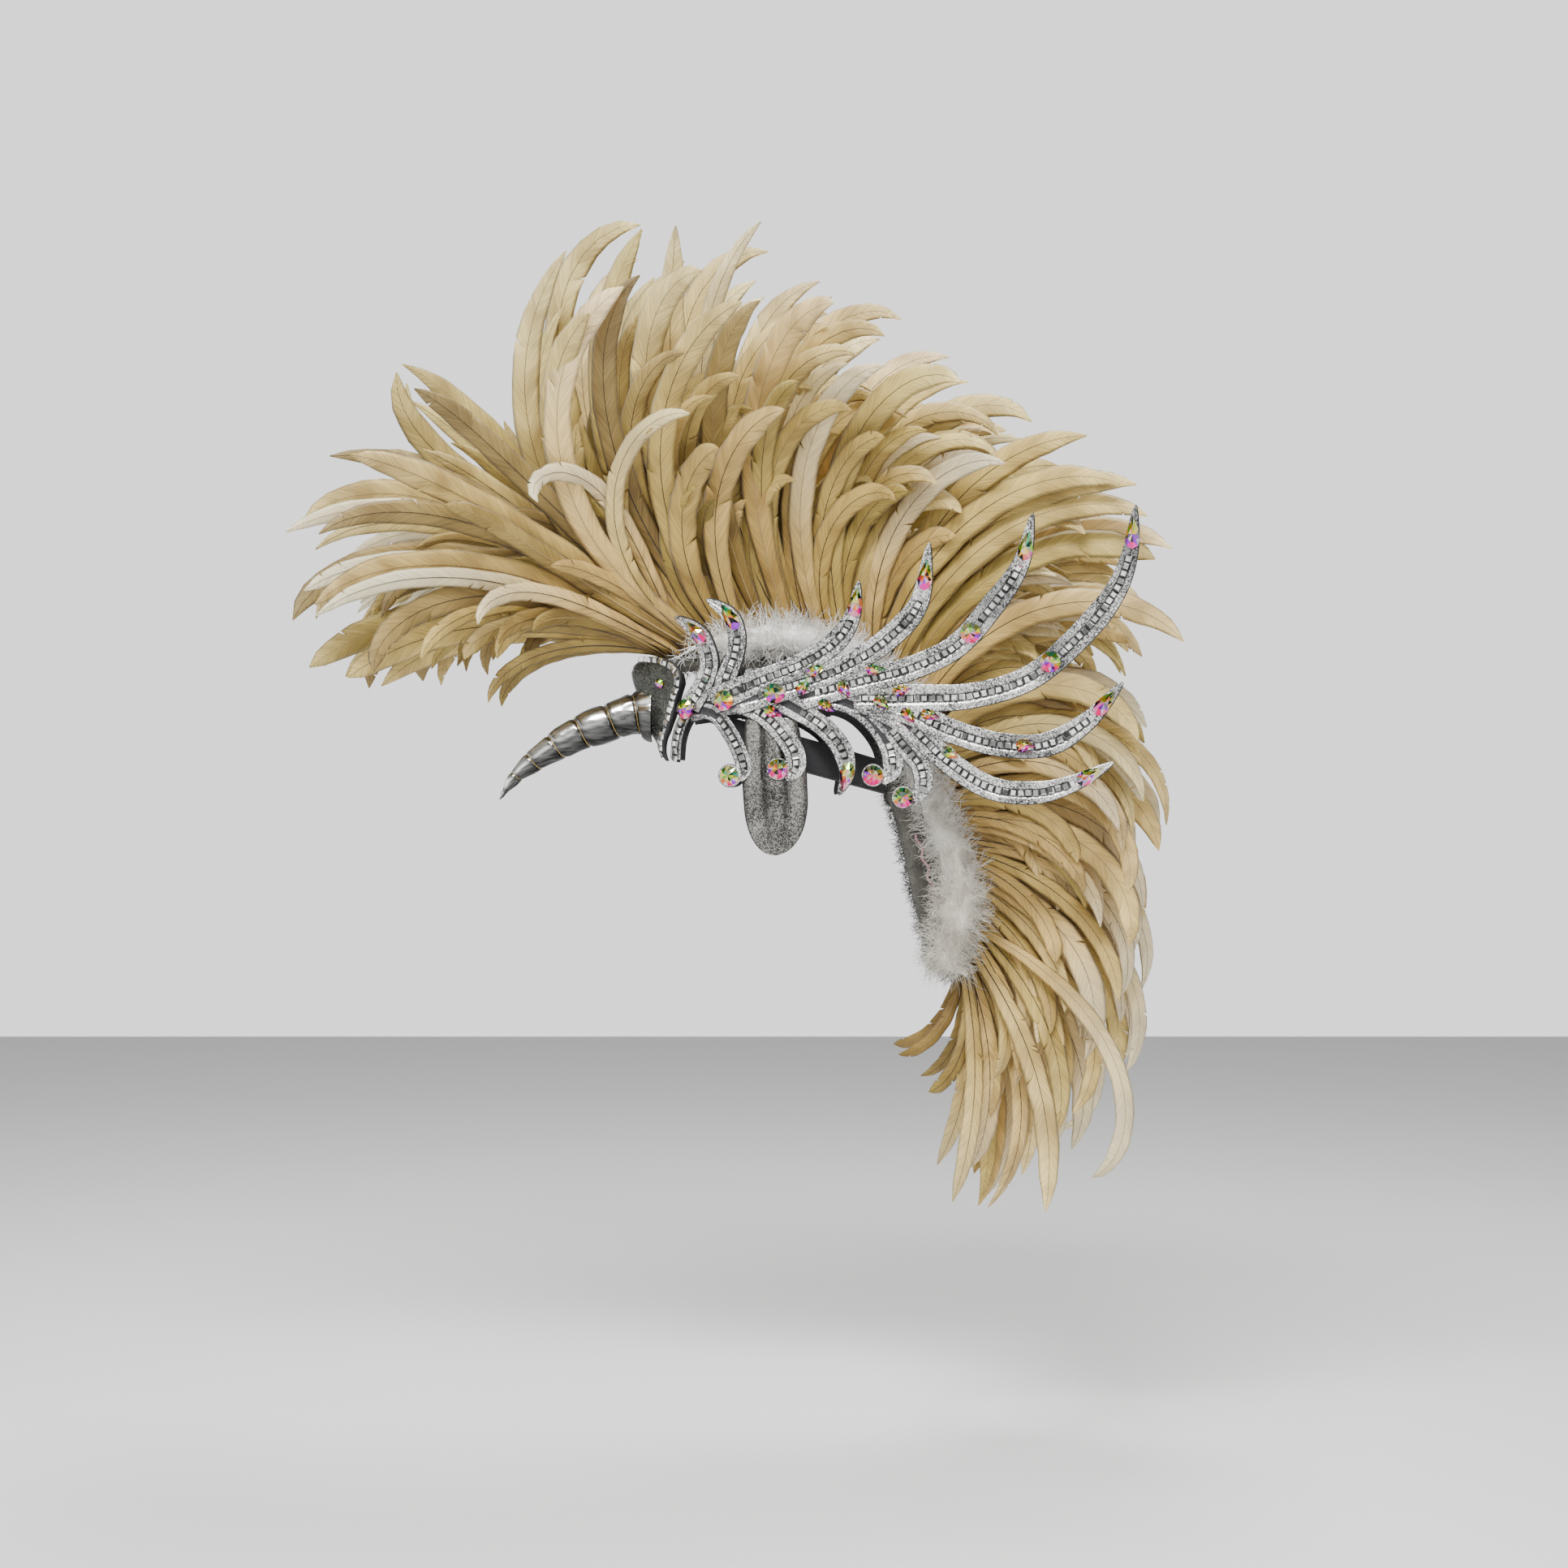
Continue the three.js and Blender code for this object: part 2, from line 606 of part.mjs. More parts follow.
// Foam wings. Each scroll is a ribbon drawn flat from the side, laid one over the other and
// then bent round the head. Points, widths and stone sizes are shares of the wing's length.
const WING_FRONT = -91.5;
const WING_LEVEL = -35.5;
const scrolls = [
  { name: 'hub', width: 0.062, ends: 'square', trimTo: 1,
    points: [[0.035, 0.175], [0.13, 0.19], [0.23, 0.2], [0.34, 0.2], [0.45, 0.185], [0.53, 0.155]] },
  { name: 'brow_edge', width: 0.024, ends: 'square', trimTo: 1,
    points: [[0.04, 0.178], [0.02, 0.145], [0.008, 0.108], [0.004, 0.062]] },
  { name: 'temple_curl', width: 0.035, ends: 'round', trimTo: 0.92,
    points: [[0.039, 0.173], [0.092, 0.161], [0.126, 0.12], [0.149, 0.073], [0.158, 0.035], [0.145, 0.018]] },
  { name: 'ear_curl', width: 0.046, ends: 'round', trimTo: 0.9,
    points: [[0.136, 0.188], [0.193, 0.165], [0.24, 0.12], [0.27, 0.07], [0.268, 0.038], [0.245, 0.026]] },
  { name: 'drop', width: 0.044, ends: 'point', trimTo: 0.74,
    points: [[0.225, 0.199], [0.296, 0.158], [0.34, 0.125], [0.374, 0.08], [0.384, 0.03], [0.366, -0.019]] },
  { name: 'middle_curl', width: 0.046, ends: 'round', trimTo: 0.9,
    points: [[0.304, 0.205], [0.4, 0.178], [0.45, 0.135], [0.48, 0.082], [0.482, 0.035], [0.457, 0.015]] },
  { name: 'nape_curl', width: 0.042, ends: 'round', trimTo: 0.88,
    points: [[0.411, 0.195], [0.467, 0.143], [0.51, 0.09], [0.545, 0.045], [0.55, 0.0], [0.525, -0.03]] },
  { name: 'front_flame', width: 0.040, ends: 'point', trimTo: 0.6,
    points: [[0.039, 0.177], [0.066, 0.22], [0.083, 0.267], [0.078, 0.304], [0.058, 0.342], [0.007, 0.381]] },
  { name: 'second_flame', width: 0.040, ends: 'point', trimTo: 0.6,
    points: [[0.117, 0.188], [0.119, 0.234], [0.137, 0.285], [0.144, 0.33], [0.128, 0.378], [0.078, 0.416]] },
  { name: 'low_blade', width: 0.051, ends: 'point', trimTo: 0.84,
    points: [[0.43, 0.19], [0.51, 0.145], [0.6, 0.06], [0.7, -0.003], [0.8, -0.012], [0.88, 0.01], [0.96, 0.053]] },
  { name: 'level_blade', width: 0.053, ends: 'point', trimTo: 0.84,
    points: [[0.42, 0.192], [0.51, 0.17], [0.61, 0.123], [0.72, 0.092], [0.82, 0.093], [0.905, 0.143], [0.98, 0.227]] },
  { name: 'great_blade', width: 0.055, ends: 'point', trimTo: 0.88,
    points: [[0.4, 0.195], [0.53, 0.194], [0.66, 0.2], [0.78, 0.237], [0.88, 0.32], [0.96, 0.42], [0.99, 0.5], [1.0, 0.605]] },
  { name: 'third_blade', width: 0.053, ends: 'point', trimTo: 0.83,
    points: [[0.28, 0.2], [0.405, 0.23], [0.53, 0.262], [0.625, 0.31], [0.7, 0.395], [0.76, 0.485], [0.784, 0.592]] },
  { name: 'second_blade', width: 0.051, ends: 'point', trimTo: 0.8,
    points: [[0.14, 0.188], [0.26, 0.222], [0.375, 0.262], [0.475, 0.326], [0.54, 0.4], [0.563, 0.533]] },
  { name: 'first_blade', width: 0.048, ends: 'point', trimTo: 0.82,
    points: [[0.09, 0.188], [0.19, 0.232], [0.3, 0.278], [0.365, 0.325], [0.396, 0.375], [0.41, 0.452]] },
];

function wingSide(y, z) {
  const narrow = sideOf(min(y, 0), WING_OFFSET);
  const splay = WING_SPLAY * (max(0, y) / (WING_FRONT + WING_LENGTH)) ** 1.6;
  const risen = max(0, z - CROWN_HEIGHT * 0.5) / WING_LENGTH;
  return narrow + splay + WING_LEAN * risen * risen * WING_LENGTH;
}

// The point of the bent wing over a flat point, a stated height above its inner face.
function bent(y, z, height) {
  const STEP = 0.5;
  const slopeY = (wingSide(y + STEP, z) - wingSide(y - STEP, z)) / (2 * STEP);
  const slopeZ = (wingSide(y, z + STEP) - wingSide(y, z - STEP)) / (2 * STEP);
  const normal = new THREE.Vector3(1, -slopeY, -slopeZ).normalize();
  return new THREE.Vector3(wingSide(y, z), y, z).addScaledVector(normal, height);
}

function bend(solid) {
  const geometry = toGeometry(solid);
  const position = geometry.attributes.position;
  for (let i = 0; i < position.count; i++) {
    const at = bent(position.getX(i), position.getY(i), position.getZ(i));
    position.setXYZ(i, at.x, at.y, at.z);
  }
  return geometry;
}

const wingFlat = ([along_, up]) => new THREE.Vector3(
  WING_FRONT + along_ * WING_LENGTH,
  WING_LEVEL + up * WING_LENGTH,
  0,
);

for (const scroll of scrolls) {
  scroll.path = new THREE.CatmullRomCurve3(scroll.points.map(wingFlat), false, 'centripetal');
}

// A flat ribbon along a scroll from its start to a share of its length.
function ribbon(scroll, to, widthAt, low, high) {
  const STEPS = round((scroll.path.getLength() * to) / 28) + 2;
  const rings = [];
  for (let i = 0; i <= STEPS; i++) {
    const share = (i / STEPS) * to;
    const centre = scroll.path.getPointAt(share);
    const tangent = scroll.path.getTangentAt(share);
    const half = widthAt(share) / 2;
    const point = (side, height) => new THREE.Vector3(
      centre.x - tangent.y * side * half,
      centre.y + tangent.x * side * half,
      height,
    );
    rings.push([point(-1, low), point(1, low), point(1, high), point(-1, high)]);
  }
  return loft(rings);
}

function flatDisc(centre, radius, low, high) {
  const disc = new THREE.CylinderGeometry(radius, radius, high - low, 12);
  return disc.rotateX(PI / 2).translate(centre.x, centre.y, (low + high) / 2);
}

// Where a scroll's end stone sits: on the disc that a curl closes round, or short of a point.
const CURL_IN = 0.8;
function endStoneSeat(scroll) {
  if (scroll.ends === 'point') {
    const share = scroll.name.includes('flame') ? 0.75 : mix(scroll.trimTo, 1, 0.42);
    return { centre: scroll.path.getPointAt(share), tangent: scroll.path.getTangentAt(share) };
  }
  const tangent = scroll.path.getTangentAt(1);
  const inward = new THREE.Vector3(tangent.y, -tangent.x, 0);
  const centre = scroll.path.getPointAt(1)
    .addScaledVector(inward, (ROUND_STONE / 2) * CURL_IN)
    .addScaledVector(tangent, ROUND_STONE / 8);
  return { centre, tangent };
}

const highest = (number) => FOAM_THICKNESS - (scrolls.length - 1 - number) * FOAM_STEP;

function wing() {
  const pieces = scrolls.flatMap((scroll, number) => {
    const width = scroll.width * WING_LENGTH;
    const narrowing = { square: () => 1, round: (s) => (s < 0.85 ? 1 : mix(1, 0.6, (s - 0.85) / 0.15)) };
    narrowing.point = (s) => (s < 0.7 ? 1 + 0.25 * max(0, 1 - s / 0.35) : max(0.05, sqrt((1 - s) / 0.3)));
    const taper = narrowing[scroll.ends];
    const made = [ribbon(scroll, 1, (s) => width * taper(s), 0, highest(number))];
    if (scroll.ends === 'round') {
      made.push(flatDisc(endStoneSeat(scroll).centre, ROUND_STONE / 2 + 1, 0, highest(number)));
    }
    return made;
  });
  return bend(joined(pieces).simplify(GAP / 2));
}
addPair('wing', wing(), materials.glitter);

// Cut stones: a table and a ring of eight facets over a flat back, in the wing's flat frame.
function cutStone(centre, tangent, length, width, low) {
  const FACETS = 8;
  const TABLE = 0.5;
  const side = new THREE.Vector3(-tangent.y, tangent.x, 0);
  const rim = (share, height) => Array.from({ length: FACETS }, (_, j) => {
    const turn = (2 * PI * (j + 0.5)) / FACETS;
    return centre.clone()
      .addScaledVector(tangent, ((share * length) / 2) * cos(turn))
      .addScaledVector(side, ((share * width) / 2) * sin(turn))
      .setZ(height);
  });
  const crown = min(STONE_HEIGHT, width * 0.35);
  return loft([rim(1, low), rim(TABLE, low + crown)]);
}

// Small stones between the scrolls. Places are shares of the wing's length, and the long side
// turns by the stated degrees.
const smallStones = [
  { at: [0.289, 0.222], turn: 60 }, { at: [0.317, 0.258], turn: 20 }, { at: [0.223, 0.164], turn: -20 },
  { at: [0.341, 0.177], turn: -35 }, { at: [0.38, 0.213], turn: -60 }, { at: [0.448, 0.258], turn: 5 },
  { at: [0.505, 0.212], turn: 10 }, { at: [0.462, 0.183], turn: -40 }, { at: [0.52, 0.155], turn: -45 },
  { at: [0.568, 0.157], turn: -15 }, { at: [0.612, 0.074], turn: -35 }, { at: [0.773, 0.089], turn: 0 },
];
const SMALL_LENGTH = 17;
const SMALL_WIDTH = 11;

function stoneTrim() {
  const low = FOAM_THICKNESS + 3 * GAP;
  const strips = scrolls.map((scroll) => (
    ribbon(scroll, scroll.trimTo, () => TRIM_WIDTH, low, low + TRIM_HEIGHT)
  ));
  const stones = smallStones.map(({ at, turn }) => {
    const angle = THREE.MathUtils.degToRad(turn);
    const tangent = new THREE.Vector3(cos(angle), sin(angle), 0);
    return cutStone(wingFlat(at), tangent, SMALL_LENGTH, SMALL_WIDTH, low + TRIM_HEIGHT / 2);
  });
  return bend(joined([...strips, ...stones]).simplify(GAP));
}
addPair('stone_trim', stoneTrim(), materials.trim);

// A stone stays flat on the bent wing: it is turned onto the wing's slope at its centre.
function seated(centre, tangent, length, width, low) {
  const atOrigin = cutStone(new THREE.Vector3(), tangent, length, width, 0);
  const base = bent(centre.x, centre.y, low);
  const normal = bent(centre.x, centre.y, low + 1).sub(base);
  const back = new THREE.Vector3(-normal.y, normal.x, 0).normalize();
  const up = new THREE.Vector3().crossVectors(normal, back);
  const turn = new THREE.Matrix4().makeBasis(back, up, normal).setPosition(base);
  return atOrigin.applyMatrix4(turn);
}

// Main stones, each on its own: one at each scroll's end, three round the hub, two on the blades
const ON_TRIM = FOAM_THICKNESS + TRIM_HEIGHT + 4 * GAP;
const hubStones = [
  { name: 'brow_stone', at: [0.036, 0.173] },
  { name: 'temple_stone', at: [0.118, 0.19] },
  { name: 'side_stone', at: [0.225, 0.206] },
  { name: 'third_blade_mid_stone', at: [0.654, 0.337] },
  { name: 'great_blade_mid_stone', at: [0.826, 0.272] },
];
for (const { name, at } of hubStones) {
  const level = new THREE.Vector3(1, 0, 0);
  addPair(name, seated(wingFlat(at), level, ROUND_STONE, ROUND_STONE, ON_TRIM), materials.crystal);
}
scrolls.forEach((scroll, number) => {
  if (scroll.ends === 'square') return;
  const { centre, tangent } = endStoneSeat(scroll);
  const round_ = scroll.ends === 'round';
  const length = round_ ? ROUND_STONE : 0.066 * WING_LENGTH;
  const width = round_ ? ROUND_STONE : 0.036 * WING_LENGTH;
  const low = highest(number) + 2 * GAP;
  addPair(`${scroll.name}_stone`, seated(centre, tangent, length, width, low), materials.crystal);
});

// Ear flaps, fluted leaves that hang from behind the wing's front curls

// Half width and centre as shares of the flap's width, down its length
const flapOutline = [
  { at: 0.0, half: 0.4, centre: -0.08 },
  { at: 0.35, half: 0.51, centre: -0.04 },
  { at: 0.62, half: 0.5, centre: -0.01 },
  { at: 0.8, half: 0.41, centre: -0.01 },
  { at: 0.94, half: 0.25, centre: -0.02 },
  { at: 1.0, half: 0.07, centre: -0.03 },
];
const FLAP_TOP = 26;
const FLUTES = 3;
const CHEEK_IN = 7;

function earFlap() {
  const COLUMNS = 13;
  const grid = (rise) => flapOutline.map((row) => Array.from({ length: COLUMNS }, (_, c) => {
    const across = mix(-1, 1, c / (COLUMNS - 1));
    const y = (row.centre + row.half * across) * FLAP_WIDTH;
    const ridge = abs(sin((PI * FLUTES * (across + 1)) / 2));
    const fluted = FLUTE_DEPTH * ridge * min(1, 2 * (1 - row.at));
    const offset = FLAP_OFFSET + rise + fluted;
    const inward = CHEEK_IN * max(0, row.at - 0.45);
    return new THREE.Vector3(sideOf(y, offset) - inward, y, FLAP_TOP - row.at * FLAP_LENGTH);
  }));
  return wall(grid(FLAP_THICKNESS), grid(0));
}
addPair('ear_flap', earFlap(), materials.pewter);

export default group;
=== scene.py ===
# A carnival headdress: rooster tail feathers and marabou on a padded spine, a wound horn on a
# forehead plate, and glittered foam wings set with crystals. Metres, +Z up, the wearer faces -Y.
import math
import bpy
import numpy as np
from mathutils import Matrix, Vector


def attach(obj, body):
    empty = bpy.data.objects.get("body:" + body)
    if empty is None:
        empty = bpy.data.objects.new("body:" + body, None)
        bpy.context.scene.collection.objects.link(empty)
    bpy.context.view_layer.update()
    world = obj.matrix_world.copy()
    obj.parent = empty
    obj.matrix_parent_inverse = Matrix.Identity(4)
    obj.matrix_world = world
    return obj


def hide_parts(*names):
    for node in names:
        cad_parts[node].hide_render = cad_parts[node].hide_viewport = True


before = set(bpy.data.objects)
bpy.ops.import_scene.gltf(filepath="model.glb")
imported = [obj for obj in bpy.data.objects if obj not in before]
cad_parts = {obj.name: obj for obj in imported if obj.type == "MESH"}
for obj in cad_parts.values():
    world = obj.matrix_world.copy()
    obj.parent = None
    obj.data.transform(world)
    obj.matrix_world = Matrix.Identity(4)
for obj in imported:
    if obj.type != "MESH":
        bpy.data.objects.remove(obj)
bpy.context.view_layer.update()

# Camera. It stands level on the wearer's left, as far off as the photographer stood, and its
# square frame takes in the whole photograph.
CAMERA_DISTANCE = 2.582
CAMERA_BACK = 0.0067
CAMERA_HEIGHT = -0.0329


def new_object(name, data):
    """An object that stands in the scene."""
    made = bpy.data.objects.new(name, data)
    bpy.context.collection.objects.link(made)
    return made


lens = bpy.data.cameras.new("camera")
lens.lens = 65.0
lens.sensor_width = 36.0
camera = new_object("camera", lens)
camera.location = (CAMERA_DISTANCE, CAMERA_BACK, CAMERA_HEIGHT)
camera.rotation_euler = (math.pi / 2, 0, math.pi / 2)
bpy.context.scene.camera = camera


# Head band. A loop of black velvet elastic, 30 mm wide, that holds everything on the head. It
# is woven with a ribbed edge and sits higher at the forehead than at the nape.
MM = 0.001
HEAD_LENGTH = 194 * MM
HEAD_WIDTH = 158 * MM
BAND_WIDTH = 30 * MM
BAND_THICKNESS = 3 * MM
BAND_SLOPE = math.tan(math.radians(15.5))
GAP = 0.3 * MM
HALF_LENGTH = HEAD_LENGTH / 2
HALF_WIDTH = HEAD_WIDTH / 2


def add_node(tree, kind, inputs=None, **settings):
    """Adds a node; an input is a constant or the socket that feeds it."""
    made = tree.nodes.new(kind)
    for name, value in settings.items():
        setattr(made, name, value)
    for name, value in (inputs or {}).items():
        if isinstance(value, bpy.types.NodeSocket):
            tree.links.new(value, made.inputs[name])
        else:
            made.inputs[name].default_value = value
    return made


def new_finish(name, **constants):
    """A material with constants on its shader's own sockets, and its tree and shader."""
    material = bpy.data.materials.new(name)
    material.use_nodes = True
    tree = material.node_tree
    shader = tree.nodes["Principled BSDF"]
    for socket, value in constants.items():
        shader.inputs[socket.replace("_", " ")].default_value = value
    return material, tree, shader


def object_place(tree):
    return add_node(tree, "ShaderNodeTexCoord").outputs["Object"]


def grain(tree, place, scale, detail=3.0, roughness=0.55):
    made = add_node(tree, "ShaderNodeTexNoise",
                    {"Vector": place, "Scale": scale, "Detail": detail, "Roughness": roughness})
    return made.outputs["Fac"]


def colour_steps(tree, factor, stops, sharp=False):
    """A colour ramp from rows of (position, (r, g, b))."""
    made = add_node(tree, "ShaderNodeValToRGB", {"Fac": factor})
    ramp = made.color_ramp
    ramp.interpolation = "CONSTANT" if sharp else "LINEAR"
    while len(ramp.elements) < len(stops):
        ramp.elements.new(0.5)
    for element, (position, colour) in zip(ramp.elements, stops):
        element.position = position
        element.color = (*colour, 1)
    return made.outputs["Color"]


def colour_in(tree, shader, factor, stops, socket="Base Color"):
    """Feeds a colour ramp into one of the shader's sockets."""
    tree.links.new(colour_steps(tree, factor, stops), shader.inputs[socket])


def greys(*stops):
    """Rows of (position, grey) as a colour ramp's stops."""
    return [(position, (grey, grey, grey)) for position, grey in stops]


def sums(tree, operation, a, b=0.0, clamp=False):
    made = add_node(tree, "ShaderNodeMath", {0: a, 1: b}, operation=operation, use_clamp=clamp)
    return made.outputs[0]


def blended(tree, factor, a, b, how="MIX"):
    made = add_node(tree, "ShaderNodeMix", {0: factor, 6: a, 7: b}, data_type="RGBA",
                    blend_type=how)
    return made.outputs[2]


def raised(tree, shader, height, strength, distance):
    made = add_node(tree, "ShaderNodeBump",
                    {"Height": height, "Strength": strength, "Distance": distance})
    tree.links.new(made.outputs[0], shader.inputs["Normal"])
    return made


def net(rows, columns, is_tube=False, is_loop=False, start=0):
    """Quads over a net of points, row after row."""
    faces = []
    for r in range(rows if is_loop else rows - 1):
        below = ((r + 1) % rows) * columns
        for c in range(columns if is_tube else columns - 1):
            d = (c + 1) % columns
            here = r * columns
            faces.append((start + here + c, start + here + d, start + below + d, start + below + c))
    return faces


def capped(rows, columns, start=0):
    """A tube's quads with both its ends closed."""
    first = tuple(start + c for c in reversed(range(columns)))
    last = tuple(start + (rows - 1) * columns + c for c in range(columns))
    return net(rows, columns, is_tube=True, start=start) + [first, last]


def full_turn(count):
    """Angles in even steps round a full turn."""
    return np.linspace(0, 2 * math.pi, count, endpoint=False)


def add_piece(name, points, faces, materials, smooth=True, pick=None):
    """A mesh object whose faces point out. pick gives each face its material's number."""
    mesh = bpy.data.meshes.new(name)
    mesh.from_pydata(np.asarray(points, float).reshape(-1, 3).tolist(), [], faces)
    mesh.update()
    for material in materials:
        mesh.materials.append(material)
    if pick is not None:
        mesh.polygons.foreach_set("material_index", pick)
    mesh.calc_loop_triangles()
    corners = np.array([[mesh.vertices[i].co for i in t.vertices] for t in mesh.loop_triangles])
    if np.einsum("ij,ij->i", corners[:, 0], np.cross(corners[:, 1], corners[:, 2])).sum() < 0:
        mesh.flip_normals()
    mesh.polygons.foreach_set("use_smooth", [smooth] * len(mesh.polygons))
    return new_object(name, mesh)


velvet, tree, shader = new_finish("black velvet elastic", Roughness=0.95, Sheen_Weight=0.35,
                                  Sheen_Roughness=0.4)
pile = grain(tree, object_place(tree), 1400)
colour_in(tree, shader, pile, [(0.3, (0.003, 0.003, 0.004)), (0.75, (0.016, 0.016, 0.018))])
raised(tree, shader, pile, 0.5, 0.0006)


def head_band():
    STEPS = 144
    RIB = 0.35 * MM
    NARROW = 0.24
    profile = [(0, -0.5), (0.5, -0.5), (1, -0.47), (1.12, -0.4), (1, -0.34), (1.04, 0), (1, 0.34),
               (1.12, 0.4), (1, 0.47), (0.5, 0.5), (0, 0.5), (0, 0.17), (0, -0.17)]
    turn = full_turn(STEPS)[:, None]
    out = np.array([p[0] for p in profile]) * (BAND_THICKNESS - RIB)
    up = np.array([p[1] for p in profile]) * BAND_WIDTH
    y = (HALF_LENGTH + out) * np.sin(turn)
    x = (HALF_WIDTH + out) * np.cos(turn)
    brow = np.clip((-np.sin(turn) - 0.15) / 0.4, 0, 1)
    share = 1 - (1 - NARROW) * brow * brow * (3 - 2 * brow)
    rise = BAND_WIDTH / 2 + (up - BAND_WIDTH / 2) * share
    points = np.stack([x, y, rise - BAND_SLOPE * y], axis=-1)
    return add_piece("elastic_band", points, net(STEPS, len(profile), True, True), [velvet])


band = head_band()
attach(band, "root")
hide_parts("head_band")


# Crest spine. A long pad covered in short grey-white plush that runs from the brow over the
# crown and hangs behind the neck, thicker towards its tail. A pink thread closes its side seam.
CROWN_HEIGHT = 71 * MM
TAIL_REACH = 66 * MM
TAIL_DROP = 190 * MM
SPINE_WIDTH = 60 * MM
SPINE_THICKNESS = 12 * MM
TAIL_PAD = 36 * MM


def unit(vectors):
    return vectors / np.linalg.norm(vectors, axis=-1, keepdims=True)


class Run:
    """A smooth line through chosen points, read at shares of its length."""

    def __init__(self, points, dense=80):
        chosen = np.asarray(points, float)
        before = 2 * chosen[0] - chosen[1]
        after = 2 * chosen[-1] - chosen[-2]
        q = np.vstack([before, chosen, after])
        pieces = []
        for i in range(len(chosen) - 1):
            a, b, c, d = q[i:i + 4]
            ab, bc, cd = (np.linalg.norm(v) ** 0.5 for v in (b - a, c - b, d - c))
            out = ((b - a) / ab - (c - a) / (ab + bc) + (c - b) / bc) * bc
            back = ((c - b) / bc - (d - b) / (bc + cd) + (d - c) / cd) * bc
            t = np.linspace(0, 1, dense, endpoint=False)[:, None]
            curve = b + out * t + (3 * c - 3 * b - 2 * out - back) * t * t
            pieces.append(curve + (2 * b - 2 * c + out + back) * t ** 3)
        self.line = np.vstack(pieces + [chosen[-1:]])
        steps = np.linalg.norm(np.diff(self.line, axis=0), axis=1)
        self.way = np.concatenate([[0], np.cumsum(steps)])
        self.length = self.way[-1]

    def at(self, share):
        way = np.asarray(share) * self.length
        return np.stack([np.interp(way, self.way, self.line[:, k]) for k in range(3)], axis=-1)

    def heading(self, share):
        share = np.asarray(share)
        return unit(self.at(np.minimum(share + 0.002, 1)) - self.at(np.maximum(share - 0.002, 0)))


def eased(rows, share, column):
    """A column of a table of rows that start with their place, eased between rows."""
    places = np.array([row[0] for row in rows])
    values = np.array([row[column] for row in rows])
    share = np.clip(share, places[0], places[-1])
    i = np.clip(np.searchsorted(places, share, side="left"), 1, len(places) - 1)
    t = (share - places[i - 1]) / (places[i] - places[i - 1])
    return values[i - 1] + (values[i] - values[i - 1]) * t * t * (3 - 2 * t)


# Shares of half the head's length and of the crown's height: back, up
crown_path = [(-1.06, 0.945), (-0.85, 0.98), (-0.48, 1.02), (0.0, 1.02), (0.42, 0.94), (0.75, 0.68),
              (0.97, 0.3)]
# Shares of the tail's reach and drop from where the spine passes the band: back, down
tail_path = [(0.1, 0.19), (0.25, 0.39), (0.42, 0.66), (0.66, 0.89), (0.92, 0.99)]
band_back = HALF_LENGTH + BAND_THICKNESS + GAP
nape = -BAND_SLOPE * HALF_LENGTH
spine_line = Run(
    [(0, back * HALF_LENGTH, up * CROWN_HEIGHT) for back, up in crown_path]
    + [(0, band_back + GAP, nape + BAND_WIDTH / 2), (0, band_back + GAP, nape - BAND_WIDTH / 2)]
    + [(0, band_back + back * TAIL_REACH, nape - down * TAIL_DROP) for back, down in tail_path])
# Along the spine: place, width, padding
spine_rows = [(0.0, 0.5, 0.0), (0.14, 0.85, 0.0), (0.3, 1.0, 0.0), (0.52, 1.0, 0.1), (0.68, 1.0, 0.7),
              (0.82, 1.0, 1.0), (1.0, 0.62, 0.35)]


def spine_at(share):
    """The spine's outer face and inner face, its normal and its half width."""
    inner = spine_line.at(share)
    tangent = spine_line.heading(share)
    normal = np.stack([np.zeros_like(tangent[..., 0]), -tangent[..., 2], tangent[..., 1]], axis=-1)
    pad = SPINE_THICKNESS + (TAIL_PAD - SPINE_THICKNESS) * eased(spine_rows, share, 2)
    half = eased(spine_rows, share, 1) * SPINE_WIDTH / 2
    return inner + normal * pad[..., None], inner, normal, half


def new_tree(name, sizes):
    """A geometry tree with named inputs, its way in and its way out."""
    tree = bpy.data.node_groups.new(name, "GeometryNodeTree")
    tree.interface.new_socket("Geometry", in_out="INPUT", socket_type="NodeSocketGeometry")
    for label, kind in sizes.items():
        tree.interface.new_socket(label, in_out="INPUT", socket_type="NodeSocket" + kind)
    tree.interface.new_socket("Geometry", in_out="OUTPUT", socket_type="NodeSocketGeometry")
    return tree, tree.nodes.new("NodeGroupInput").outputs, tree.nodes.new("NodeGroupOutput").inputs


def grow(source, tree, name, sizes, keep_source=False):
    """Runs a tree on a mesh and keeps what it makes as a plain mesh."""
    modifier = source.modifiers.new("grow", "NODES")
    modifier.node_group = tree
    for label, value in sizes.items():
        modifier[tree.interface.items_tree[label].identifier] = value
    depsgraph = bpy.context.evaluated_depsgraph_get()
    mesh = bpy.data.meshes.new_from_object(source.evaluated_get(depsgraph),
                                           preserve_all_data_layers=True, depsgraph=depsgraph)
    source.modifiers.remove(modifier)
    if not keep_source:
        bpy.data.objects.remove(source)
    mesh.name = name
    return new_object(name, mesh)


def vector_sums(tree, operation, a, b):
    made = add_node(tree, "ShaderNodeVectorMath", {0: a, 1: b}, operation=operation)
    return made.outputs[0]


def scaled(tree, vector, amount):
    made = add_node(tree, "ShaderNodeVectorMath", {0: vector, "Scale": amount}, operation="SCALE")
    return made.outputs[0]


def with_material(tree, geometry, material):
    made = add_node(tree, "GeometryNodeSetMaterial", {"Geometry": geometry, "Material": material})
    return made.outputs[0]


